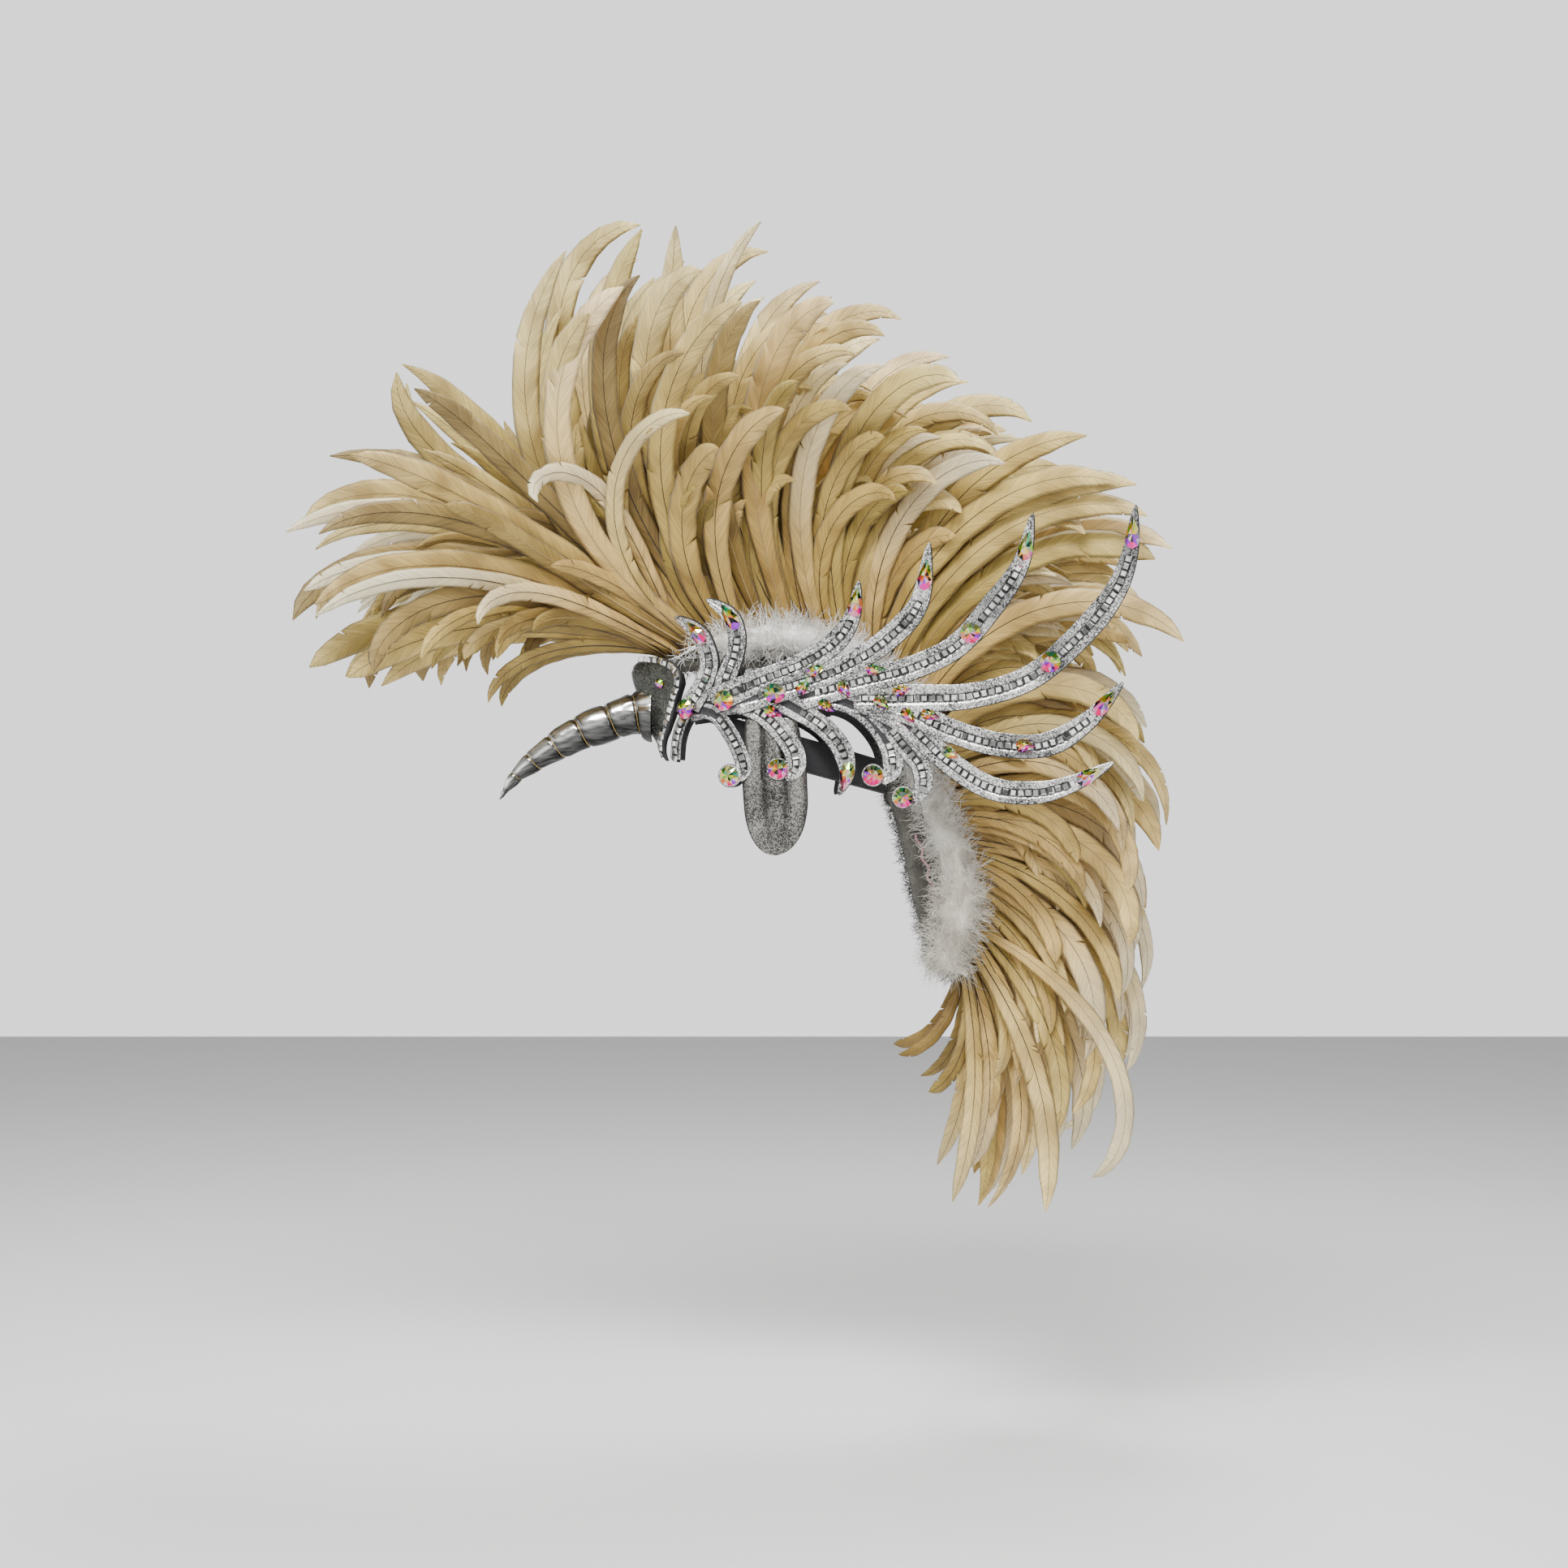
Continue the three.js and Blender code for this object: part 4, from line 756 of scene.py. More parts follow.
is_pale = sums(tree, "MULTIPLY", palest, beyond_root)
pale_streaks = colour_steps(tree, streaks, [(0.32, (0.7, 0.66, 0.58)), (0.68, (1.1, 1.1, 1.08))])
cream = blended(tree, 0.6, (0.84, 0.79, 0.6, 1), pale_streaks, "MULTIPLY")
own = blended(tree, is_pale, toned, cream)
tree.links.new(own, shader.inputs["Base Color"])
line_bump = raised(tree, shader, streaks, 0.5, 0.0012)
glow = add_node(tree, "ShaderNodeBsdfTranslucent", {"Color": own, "Normal": line_bump.outputs[0]})
through = add_node(tree, "ShaderNodeMixShader", {0: 0.25, 1: shader.outputs[0], 2: glow.outputs[0]})
tree.links.new(through.outputs[0], tree.nodes["Material Output"].inputs["Surface"])

quill_horn, tree, shader = new_finish("brown quill", Roughness=0.4)
part = add_node(tree, "ShaderNodeSeparateXYZ", {0: stored_on(tree, "vane", "Vector")})
kind = sums(tree, "FRACT", sums(tree, "MULTIPLY", part.outputs[2], 7.3))
dark = sums(tree, "ADD", kind, sums(tree, "MULTIPLY", grain(tree, object_place(tree), 90), 0.2))
colour_in(tree, shader, dark, [(0.55, (0.02, 0.011, 0.007)), (0.68, (0.12, 0.07, 0.03)),
                               (0.95, (0.38, 0.26, 0.11))])


def store_on(mesh, name, kind, domain, values):
    """Keeps a value or a vector for each point or face of a mesh."""
    layer = mesh.attributes.new(name, kind, domain)
    field = "vector" if kind == "FLOAT_VECTOR" else "value"
    layer.data.foreach_set(field, np.asarray(values, float).ravel())


feathers = vane_tree()
for name, store in quill_points.items():
    mesh = bpy.data.meshes.new("quills_" + name)
    joins = []
    start = 0
    for count in store["ends"]:
        joins += [(i, i + 1) for i in range(start, start + count - 1)]
        start += count
    mesh.from_pydata(np.vstack(store["co"]).tolist(), joins, [])
    for key in ("left", "right", "flat", "vane"):
        store_on(mesh, key, "FLOAT_VECTOR", "POINT", np.vstack(store[key]))
    store_on(mesh, "shaft", "FLOAT", "POINT", np.concatenate(store["shaft"]))
    piece = grow(new_object("quills_" + name, mesh), feathers, "crest_feathers_" + name, {
        "Thickness": VANE_THICKNESS, "Arch": 3 * MM, "Quill Lift": 0.45 * MM, "Vane": vane,
        "Quill": quill_horn})
    for key in ("left", "right", "flat", "shaft", "rim"):
        if key in piece.data.attributes:
            piece.data.attributes.remove(piece.data.attributes[key])
    piece.data.polygons.foreach_set("use_smooth", [True] * len(piece.data.polygons))
    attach(piece, "root")
    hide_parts("feathers_" + name)


# Forehead plate. A shield of foam faced with pewter glitter and edged in black, glued to the
# band at its sides and bulging forward at its top, with a border of square mirror crystals.
PLATE_HEIGHT = 94.5 * MM
PLATE_WIDTH = 90 * MM
PLATE_BULGE = 30 * MM
PLATE_THICKNESS = 3 * MM
PLATE_BOTTOM = -12 * MM
PLATE_OFFSET = BAND_THICKNESS + GAP
TRIM_HEIGHT = 2 * MM
SQUARE = 5.8 * MM
SQUARE_PITCH = 6.5 * MM
# Up the plate: place, half width, bulge
plate_rows = [(0.0, 0.08, -0.08), (0.127, 0.36, 0.13), (0.286, 0.6, 0.4), (0.444, 0.75, 0.6),
              (0.603, 0.87, 0.75), (0.762, 1.0, 0.93), (0.847, 0.96, 0.98),
              (0.921, 0.8, 0.9), (0.98, 0.58, 0.68), (1.0, 0.36, 0.56)]


def read_off(rows, share, column):
    """A column of a table of rows that start with their place, straight between rows."""
    return np.interp(share, [row[0] for row in rows], [row[column] for row in rows])


def plate_point(up, across, rise):
    wide = HALF_WIDTH + PLATE_OFFSET
    edge = math.asin(PLATE_WIDTH / 2 / wide)
    turn = np.arcsin(across * PLATE_WIDTH / 2 / wide)
    inward = np.minimum(1, np.abs(turn) / (0.8 * edge))
    bulge = PLATE_BULGE * read_off(plate_rows, up, 2) * np.cos(np.pi / 2 * inward) ** 2
    return np.stack([(wide + rise) * np.sin(turn),
                     -(HALF_LENGTH + PLATE_OFFSET + rise) * np.cos(turn) - bulge,
                     PLATE_BOTTOM + up * PLATE_HEIGHT + 0 * turn], axis=-1)


def glitter_finish(name, dark, bright, flake, painted_shading=False):
    """Glittered foam: flakes a millimetre across, each tilted and lit its own way."""
    material, tree, shader = new_finish(name, Metallic=0.8, Roughness=0.32)
    place = object_place(tree)
    flakes = add_node(tree, "ShaderNodeTexVoronoi", {"Vector": place, "Scale": flake})
    tone = add_node(tree, "ShaderNodeSeparateColor", {0: flakes.outputs["Color"]})
    clumps = grain(tree, place, 28, detail=1.5)
    bright_here = sums(tree, "ADD", sums(tree, "MULTIPLY", tone.outputs[0], 0.55),
                       sums(tree, "MULTIPLY", sums(tree, "SUBTRACT", clumps, 0.12), 0.75))
    middle = tuple(0.32 * (a + b) for a, b in zip(dark, bright))
    colour = colour_steps(tree, bright_here, [(0.25, dark), (0.5, middle), (0.78, bright)])
    # Painted shade: where the piece stores it, the glitter is darkened towards gunmetal.
    if painted_shading:
        painted_shade = stored_on(tree, "painted_shade")
        colour = blended(tree, painted_shade, colour, blended(tree, 1.0, colour, (0.22, 0.22, 0.23, 1), "MULTIPLY"))
    tree.links.new(colour, shader.inputs["Base Color"])
    colour_in(tree, shader, tone.outputs[1], greys((0.0, 0.16), (1.0, 0.5)), "Roughness")
    raised(tree, shader, tone.outputs[2], 1.0, 0.0007)
    return material


pewter = glitter_finish("pewter glitter foam", (0.012, 0.012, 0.011), (0.11, 0.112, 0.1), 1000.0,
                        painted_shading=True)
black_foam, tree, shader = new_finish("black foam edge", Roughness=0.7)
colour_in(tree, shader, grain(tree, object_place(tree), 700),
          [(0.3, (0.006, 0.006, 0.007)), (0.7, (0.025, 0.025, 0.027))])


def sheet_faces(rows, columns):
    """The outer face of a sheet, its inner face and the rim that joins them."""
    under = rows * columns
    faces = net(rows, columns) + [q[::-1] for q in net(rows, columns, start=under)]
    rim = list(range(columns - 1)) + [r * columns + columns - 1 for r in range(rows - 1)]
    rim += [(rows - 1) * columns + c for c in range(columns - 1, 0, -1)]
    rim += [r * columns for r in range(rows - 1, 0, -1)]
    return faces + [(b, a, under + a, under + b) for a, b in zip(rim, rim[1:] + rim[:1])]


def forehead_plate():
    ROWS = 44
    COLUMNS = 40
    up = np.linspace(0, 1, ROWS) ** 0.9
    up[-6:] = np.linspace(up[-7], 1, 7)[1:]
    across = read_off(plate_rows, up, 1)[:, None] * np.linspace(-1, 1, COLUMNS)
    points = [plate_point(up[:, None] + 0 * across, across, rise).reshape(-1, 3)
              for rise in (PLATE_THICKNESS, 0.0)]
    faces = sheet_faces(ROWS, COLUMNS)
    front = (ROWS - 1) * (COLUMNS - 1)
    pick = [0] * front + [1] * (len(faces) - front)
    return add_piece("plate_glitter_foam", np.vstack(points), faces, [pewter, black_foam], pick=pick)


def square_tree():
    """Square cut crystals set on points, each turned to its row and a little out of true."""
    tree, enter, leave = new_tree("square crystals", {
        "Side": "Float", "Height": "Float", "Table": "Float", "Tilt": "Float", "Seed": "Int",
        "Material": "Material"})
    half = sums(tree, "MULTIPLY", enter["Side"], math.sqrt(0.5))
    table = sums(tree, "MULTIPLY", half, enter["Table"])
    cut = add_node(tree, "GeometryNodeMeshCone", {"Vertices": 4, "Radius Top": table, "Radius Bottom": half,
                                                  "Depth": enter["Height"]})
    square = add_node(tree, "GeometryNodeTransform", {"Geometry": cut.outputs["Mesh"],
                                                      "Rotation": (0, 0, math.pi / 4)})
    turn = add_node(tree, "GeometryNodeInputNamedAttribute", {"Name": "turn"}, data_type="FLOAT_VECTOR")
    seat = add_node(tree, "FunctionNodeEulerToRotation", {0: turn.outputs["Attribute"]})
    placed = add_node(tree, "GeometryNodeInstanceOnPoints",
                      {"Points": enter["Geometry"], "Instance": square.outputs[0],
                       "Rotation": seat.outputs[0]})
    shake = add_node(tree, "FunctionNodeRandomValue",
                     {0: (-1, -1, -0.5), 1: (1, 1, 0.5), "Seed": enter["Seed"]},
                     data_type="FLOAT_VECTOR")
    tilted = add_node(tree, "GeometryNodeRotateInstances",
                      {"Instances": placed.outputs[0],
                       "Rotation": scaled(tree, shake.outputs[0], enter["Tilt"])})
    real = add_node(tree, "GeometryNodeRealizeInstances", {0: tilted.outputs[0]})
    light = add_node(tree, "FunctionNodeRandomValue", {2: 0.0, 3: 1.0, "Seed": 9}, data_type="FLOAT")
    lit = add_node(tree, "GeometryNodeStoreNamedAttribute",
                   {"Geometry": real.outputs[0], "Name": "fire", "Value": light.outputs[1]},
                   data_type="FLOAT", domain="FACE")
    tree.links.new(with_material(tree, lit.outputs[0], enter["Material"]), leave["Geometry"])
    return tree


mirror, tree, shader = new_finish("square mirror crystal", Metallic=0.92, Roughness=0.07, Coat_Weight=0.6,
                                  Coat_Roughness=0.03)
colour_in(tree, shader, stored_on(tree, "fire"),
          [(0.0, (0.06, 0.06, 0.06)), (0.3, (0.38, 0.38, 0.37)), (0.55, (0.92, 0.92, 0.9)),
           (1.0, (1.0, 1.0, 0.98))])
squares = square_tree()


def set_squares(name, centres, turns, seed):
    """One mesh of square crystals at the given places and turns."""
    mesh = bpy.data.meshes.new(name)
    mesh.from_pydata(np.asarray(centres).tolist(), [], [])
    store_on(mesh, "turn", "FLOAT_VECTOR", "POINT", turns)
    return grow(new_object(name, mesh), squares, name, {
        "Side": SQUARE, "Height": TRIM_HEIGHT, "Table": 0.66, "Tilt": 0.2, "Seed": seed,
        "Material": mirror})


def euler_of(axes):
    """The turn that lays a stone's own axes along the given ones."""
    return [tuple(Matrix(np.asarray(a).T.tolist()).to_euler()) for a in axes]


def plate_border():
    MIDDLE = 0.6
    DRAWN_IN = 0.93
    outline = [(r[0], r[1]) for r in plate_rows] + [(r[0], -r[1]) for r in reversed(plate_rows)]
    edge = [(MIDDLE + (up - MIDDLE) * DRAWN_IN, across * DRAWN_IN) for up, across in outline]
    edge.append(edge[0])
    rough = Run([plate_point(np.array(up), np.array(across), PLATE_THICKNESS) for up, across in edge])
    flat = Run([(up, across, 0) for up, across in edge]).at(np.linspace(0, 1, 160))
    rounded = Run([plate_point(u, a, PLATE_THICKNESS) for u, a, _ in flat], dense=4)
    count = int(rough.length / SQUARE_PITCH)
    share = np.arange(count) / count
    centre = rounded.at(share)
    tangent = rounded.heading(share)
    inside = plate_point(np.full(count, MIDDLE), np.zeros(count), PLATE_THICKNESS) - centre
    normal = np.cross(tangent, inside)
    normal /= np.linalg.norm(normal, axis=1, keepdims=True)
    outward = np.sign(np.einsum("ij,j->i", normal, [0, -1, 0.001]))
    normal *= outward[:, None]
    side = np.cross(normal, tangent)
    turns = euler_of(np.stack([tangent, side, normal], axis=1))
    return set_squares("plate_square_crystals", centre + normal * 0.2 * MM, turns, 3)


plate = forehead_plate()
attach(plate, "root")
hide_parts("forehead_plate")
border = plate_border()
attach(border, "root")
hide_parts("plate_trim")


# Horn. A stuffed cone of satin silver foil, wound with a thin gold cord that draws it in at each
# turn. It is gathered where it leaves the plate and tapers to a point; its glittered metal tip is not made.
HORN_LENGTH = 160 * MM
HORN_RADIUS = 15.5 * MM
HORN_SEAT = 0.46
CORD_RADIUS = 0.55 * MM
# Shares of the horn's length: out, down
horn_path = [(-0.05, 0.0), (0.04, 0.0), (0.19, 0.05), (0.355, 0.11), (0.5, 0.19), (0.62, 0.27), (0.725, 0.36),
             (0.82, 0.49)]
horn_rows = [(0.0, 1.18), (0.1, 1.0), (0.3, 1.0), (0.5, 0.84), (0.7, 0.6), (0.86, 0.35), (0.97, 0.12),
             (1.0, 0.05)]
# Turns of the cord: place along the horn, count
horn_turns = [(0.0, -0.6), (0.081, 0), (0.227, 1), (0.404, 2), (0.567, 3), (0.717, 4), (0.841, 5), (1.0, 6.6)]
STUFFED = 1.1
seat = plate_point(np.array(HORN_SEAT), np.array(0.0), PLATE_THICKNESS)
horn_line = Run([(0, seat[1] - out * HORN_LENGTH, seat[2] - drop * HORN_LENGTH)
                 for out, drop in horn_path])

foil, tree, shader = new_finish("silver satin foil", Metallic=1.0, Roughness=0.2)
place = object_place(tree)
spot = stored_on(tree, "foil", "Vector")
drawn = vector_sums(tree, "MULTIPLY", spot, (55.0, 230.0, 0.0))
creases = add_node(tree, "ShaderNodeTexNoise",
                   {"Vector": drawn, "Scale": 1.0, "Detail": 2.0, "Distortion": 0.4})
# Painted light and shade: the stored profile, the vector's third part, brightens a band high on the horn and
# darkens its underside and the cord's grooves. Crease streaks are added to it.
painted_light_and_shade = add_node(tree, "ShaderNodeSeparateXYZ", {0: spot}).outputs[2]
creased = sums(tree, "MULTIPLY", sums(tree, "SUBTRACT", creases.outputs["Fac"], 0.5), 0.7)
painted_shading = sums(tree, "ADD", painted_light_and_shade, creased)
colour_in(tree, shader, painted_shading, [(0.0, (0.02, 0.02, 0.02)), (0.35, (0.16, 0.16, 0.155)),
                               (0.65, (0.5, 0.5, 0.48)), (0.9, (0.95, 0.95, 0.92))])
colour_in(tree, shader, grain(tree, place, 700), greys((0.3, 0.16), (0.7, 0.24)), "Roughness")
raised(tree, shader, creases.outputs["Fac"], 0.2, 0.001)
gold, tree, shader = new_finish("gold cord", Metallic=0.8, Roughness=0.35)
lay = add_node(tree, "ShaderNodeTexWave", {"Vector": object_place(tree), "Scale": 700.0, "Distortion": 1.0})
colour_in(tree, shader, lay.outputs["Fac"], [(0.2, (0.16, 0.1, 0.03)), (0.8, (0.62, 0.45, 0.16))])


def cord_phase(turn):
    """The cord lies nearly straight across one side and climbs on the other."""
    return turn / (2 * np.pi) - 0.15 * (1 - np.cos(turn)) - 0.1


def horn_surface(share, turn):
    """A point on the horn at a share of its length and a turn from its top."""
    centre = horn_line.at(share)
    tangent = horn_line.heading(share)
    up = np.stack([0 * share, tangent[..., 2], -tangent[..., 1]], axis=-1)
    radius = eased(horn_rows, share, 1) * HORN_RADIUS * STUFFED
    wound = read_off(horn_turns, share, 1) + cord_phase(turn)
    drawn = np.maximum(0, np.cos(2 * np.pi * wound)) ** 14
    puffed = 0.05 * np.abs(np.sin(np.pi * wound)) ** 0.7
    gather = np.maximum(0, 1 - share / 0.15)
    pleats = gather * (0.2 + 0.09 * np.sin(turn * 13 + 2 * np.sin(turn * 2)))
    reach = radius * (0.99 + puffed - 0.09 * drawn + pleats)
    points = centre + up * (reach * np.cos(turn))[..., None]
    points[..., 0] = reach * np.sin(turn)
    rise = np.clip((points[..., 2] - PLATE_BOTTOM) / PLATE_HEIGHT, 0, 1)
    on_plate = plate_point(rise, points[..., 0] * 2 / PLATE_WIDTH, PLATE_THICKNESS)[..., 1]
    points[..., 1] = np.minimum(points[..., 1], on_plate + 0.5 * MM)
    return points


def horn_foil():
    STEPS = 240
    SIDES = 64
    share = np.linspace(0, 1, STEPS)[:, None] + np.zeros(SIDES)
    turn = np.zeros((STEPS, 1)) + full_turn(SIDES)
    piece = add_piece("horn_foil", horn_surface(share, turn), capped(STEPS, SIDES), [foil])
    # Painted light and shade round the horn: a bright band high on its side, dark underneath, and darker in
    # the cord's grooves.
    from_top = np.abs(np.angle(np.exp(1j * turn))) / np.pi
    painted_light_and_shade = np.interp(from_top, (0, 0.14, 0.24, 0.4, 0.5, 0.65, 0.86, 1),
                       (0.3, 0.5, 1.05, 0.95, 0.4, 0.1, 0.0, 0.2))
    wound = read_off(horn_turns, share, 1) + cord_phase(turn)
    painted_light_and_shade *= 1 - 0.6 * np.abs(np.cos(np.pi * wound)) ** 8
    along = share * horn_line.length
    where = np.stack([along, turn * HORN_RADIUS + along * 0.4, painted_light_and_shade], axis=-1)
    store_on(piece.data, "foil", "FLOAT_VECTOR", "POINT", where)
    return piece


def horn_cord():
    """The cord lies in the groove, turn after turn."""
    STEPS = 420
    SIDES = 6
    turn = -np.linspace(-1.4 * math.pi, 11.3 * math.pi, STEPS)
    share = np.interp(-cord_phase(turn), [count for _, count in horn_turns],
                      [place for place, _ in horn_turns])
    line = horn_surface(share, turn)
    tangent = np.gradient(line, axis=0)
    tangent /= np.maximum(1e-9, np.linalg.norm(tangent, axis=1, keepdims=True))
    out = line - horn_line.at(share)
    out /= np.linalg.norm(out, axis=1, keepdims=True)
    side = np.cross(tangent, out)
    around = full_turn(SIDES)
    radius = (CORD_RADIUS * np.clip(eased(horn_rows, share, 1) * 1.6, 0.3, 1))[:, None, None]
    cosine, sine = np.cos(around)[:, None], np.sin(around)[:, None]
    points = line[:, None] + radius * (out[:, None] * cosine + side[:, None] * sine)
    return add_piece("horn_gold_cord", points, capped(STEPS, SIDES), [gold])


horn = horn_foil()
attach(horn, "root")
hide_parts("horn")
cord = horn_cord()
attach(cord, "root")


# Wings. Fifteen scrolls of foam, faced with silver glitter and cut with black edges, are glued
# one over the other and bent round the head. A row of square crystals runs along each scroll.
WING_LENGTH = 400 * MM
WING_SPLAY = 45 * MM
WING_LEAN = 0.3
WING_FRONT = -91.5 * MM
WING_LEVEL = -35.5 * MM
WING_OFFSET = 9.1 * MM
LOWEST_FOAM = 1.0 * MM
FOAM_STEP = 0.27 * MM
EDGE = 0.7 * MM
TRACK = 6.6 * MM
ROUND_STONE = 18 * MM
# Scrolls, undermost first: name, width, end, how far the stones run, and points on the flat wing
scrolls = [
    ("hub", 0.062, "square", 1,
     [(0.035, 0.175), (0.13, 0.19), (0.23, 0.2), (0.34, 0.2), (0.45, 0.185), (0.53, 0.155)]),
    ("brow_edge", 0.024, "square", 1, [(0.04, 0.178), (0.02, 0.145), (0.008, 0.108), (0.004, 0.062)]),
    ("temple_curl", 0.035, "round", 0.92,
     [(0.039, 0.173), (0.092, 0.161), (0.126, 0.12), (0.149, 0.073), (0.158, 0.035), (0.145, 0.018)]),
    ("ear_curl", 0.046, "round", 0.9,
     [(0.136, 0.188), (0.193, 0.165), (0.24, 0.12), (0.27, 0.07), (0.268, 0.038), (0.245, 0.026)]),
    ("drop", 0.044, "point", 0.74,
     [(0.225, 0.199), (0.296, 0.158), (0.34, 0.125), (0.374, 0.08), (0.384, 0.03), (0.366, -0.019)]),
    ("middle_curl", 0.046, "round", 0.9,
     [(0.304, 0.205), (0.4, 0.178), (0.45, 0.135), (0.48, 0.082), (0.482, 0.035), (0.457, 0.015)]),
    ("nape_curl", 0.042, "round", 0.88,
     [(0.411, 0.195), (0.467, 0.143), (0.51, 0.09), (0.545, 0.045), (0.55, 0.0), (0.525, -0.03)]),
    ("front_flame", 0.040, "point", 0.6,
     [(0.039, 0.177), (0.066, 0.22), (0.083, 0.267), (0.078, 0.304), (0.058, 0.342), (0.007, 0.381)]),
    ("second_flame", 0.040, "point", 0.6,
     [(0.117, 0.188), (0.119, 0.234), (0.137, 0.285), (0.144, 0.33), (0.128, 0.378), (0.078, 0.416)]),
    ("low_blade", 0.051, "point", 0.84,
     [(0.43, 0.19), (0.51, 0.145), (0.6, 0.06), (0.7, -0.003), (0.8, -0.012), (0.88, 0.01), (0.96, 0.053)]),
    ("level_blade", 0.053, "point", 0.84,
     [(0.42, 0.192), (0.51, 0.17), (0.61, 0.123), (0.72, 0.092), (0.82, 0.093), (0.905, 0.143),
      (0.98, 0.227)]),
    ("great_blade", 0.055, "point", 0.88,
     [(0.4, 0.195), (0.53, 0.194), (0.66, 0.2), (0.78, 0.237), (0.88, 0.32), (0.96, 0.42),
      (0.99, 0.5), (1.0, 0.605)]),
    ("third_blade", 0.053, "point", 0.83,
     [(0.28, 0.2), (0.405, 0.23), (0.53, 0.262), (0.625, 0.31), (0.7, 0.395), (0.76, 0.485), (0.784, 0.592)]),
    ("second_blade", 0.051, "point", 0.8,
     [(0.14, 0.188), (0.26, 0.222), (0.375, 0.262), (0.475, 0.326), (0.54, 0.4), (0.563, 0.533)]),
    ("first_blade", 0.048, "point", 0.82,
     [(0.09, 0.188), (0.19, 0.232), (0.3, 0.278), (0.365, 0.325), (0.396, 0.375), (0.41, 0.452)]),
]
# Patches of painted shade, where the silver is darkened to gunmetal, in shares of the wing: along, up, size
painted_shade_spots = [(0.71, 0.4, 0.07), (0.84, 0.29, 0.05), (1.0, 0.52, 0.08),
              (0.775, 0.09, 0.06), (0.05, 0.13, 0.04),
              (0.1, 0.1, 0.05), (0.01, 0.12, 0.05)]


def side_of(y, offset):
    share = y / (HALF_LENGTH + offset)
    return (HALF_WIDTH + offset) * np.sqrt(np.maximum(0, 1 - share * share))


def wing_side(y, z):
    narrow = side_of(np.minimum(y, 0), WING_OFFSET)
    splay = WING_SPLAY * (np.maximum(0, y) / (WING_FRONT + WING_LENGTH)) ** 1.6
    risen = np.maximum(0, z - CROWN_HEIGHT * 0.5) / WING_LENGTH
    return narrow + splay + WING_LEAN * risen * risen * WING_LENGTH


def bent(flat):
    """Lays flat wing points (back, up, height) round the head."""
    y, z, height = flat[..., 0], flat[..., 1], flat[..., 2]
    step = 0.5 * MM
    slope_y = (wing_side(y + step, z) - wing_side(y - step, z)) / (2 * step)
    slope_z = (wing_side(y, z + step) - wing_side(y, z - step)) / (2 * step)
    normal = np.stack([np.ones_like(y), -slope_y, -slope_z], axis=-1)
    normal /= np.linalg.norm(normal, axis=-1, keepdims=True)
    return np.stack([wing_side(y, z), y, z], axis=-1) + normal * height[..., None]


def on_wing(along, up):
    return np.array([WING_FRONT + along * WING_LENGTH, WING_LEVEL + up * WING_LENGTH, 0.0])


def foam_level(number):
    return LOWEST_FOAM + number * FOAM_STEP


def half_width(scroll, share):
    half = scroll[1] * WING_LENGTH / 2
    if scroll[2] == "round":
        return half * np.where(share < 0.85, 1, 1 - 0.4 * (share - 0.85) / 0.15)
    if scroll[2] == "point":
        swell = 1 + 0.25 * np.maximum(0, 1 - share / 0.35)
        return half * np.where(share < 0.7, swell, np.maximum(0.03, np.sqrt(np.maximum(0, 1 - share) / 0.3)))
    return half + 0 * share


scroll_lines = [Run([on_wing(*p) for p in scroll[4]]) for scroll in scrolls]


def end_seat(scroll, line):
    """Where a scroll's end stone sits, and the way that the scroll runs there."""
    if scroll[2] == "point":
        share = 0.75 if "flame" in scroll[0] else scroll[3] + (1 - scroll[3]) * 0.42
        return line.at(share), line.heading(share)
    tangent = line.heading(1.0)
    inward = np.array([tangent[1], -tangent[0], 0])
    return line.at(1.0) + inward * ROUND_STONE * 0.4 + tangent * ROUND_STONE / 8, tangent


silver_glitter = glitter_finish("silver glitter foam", (0.03, 0.03, 0.031), (1.0, 1.0, 0.98), 900.0,
                                painted_shading=True)


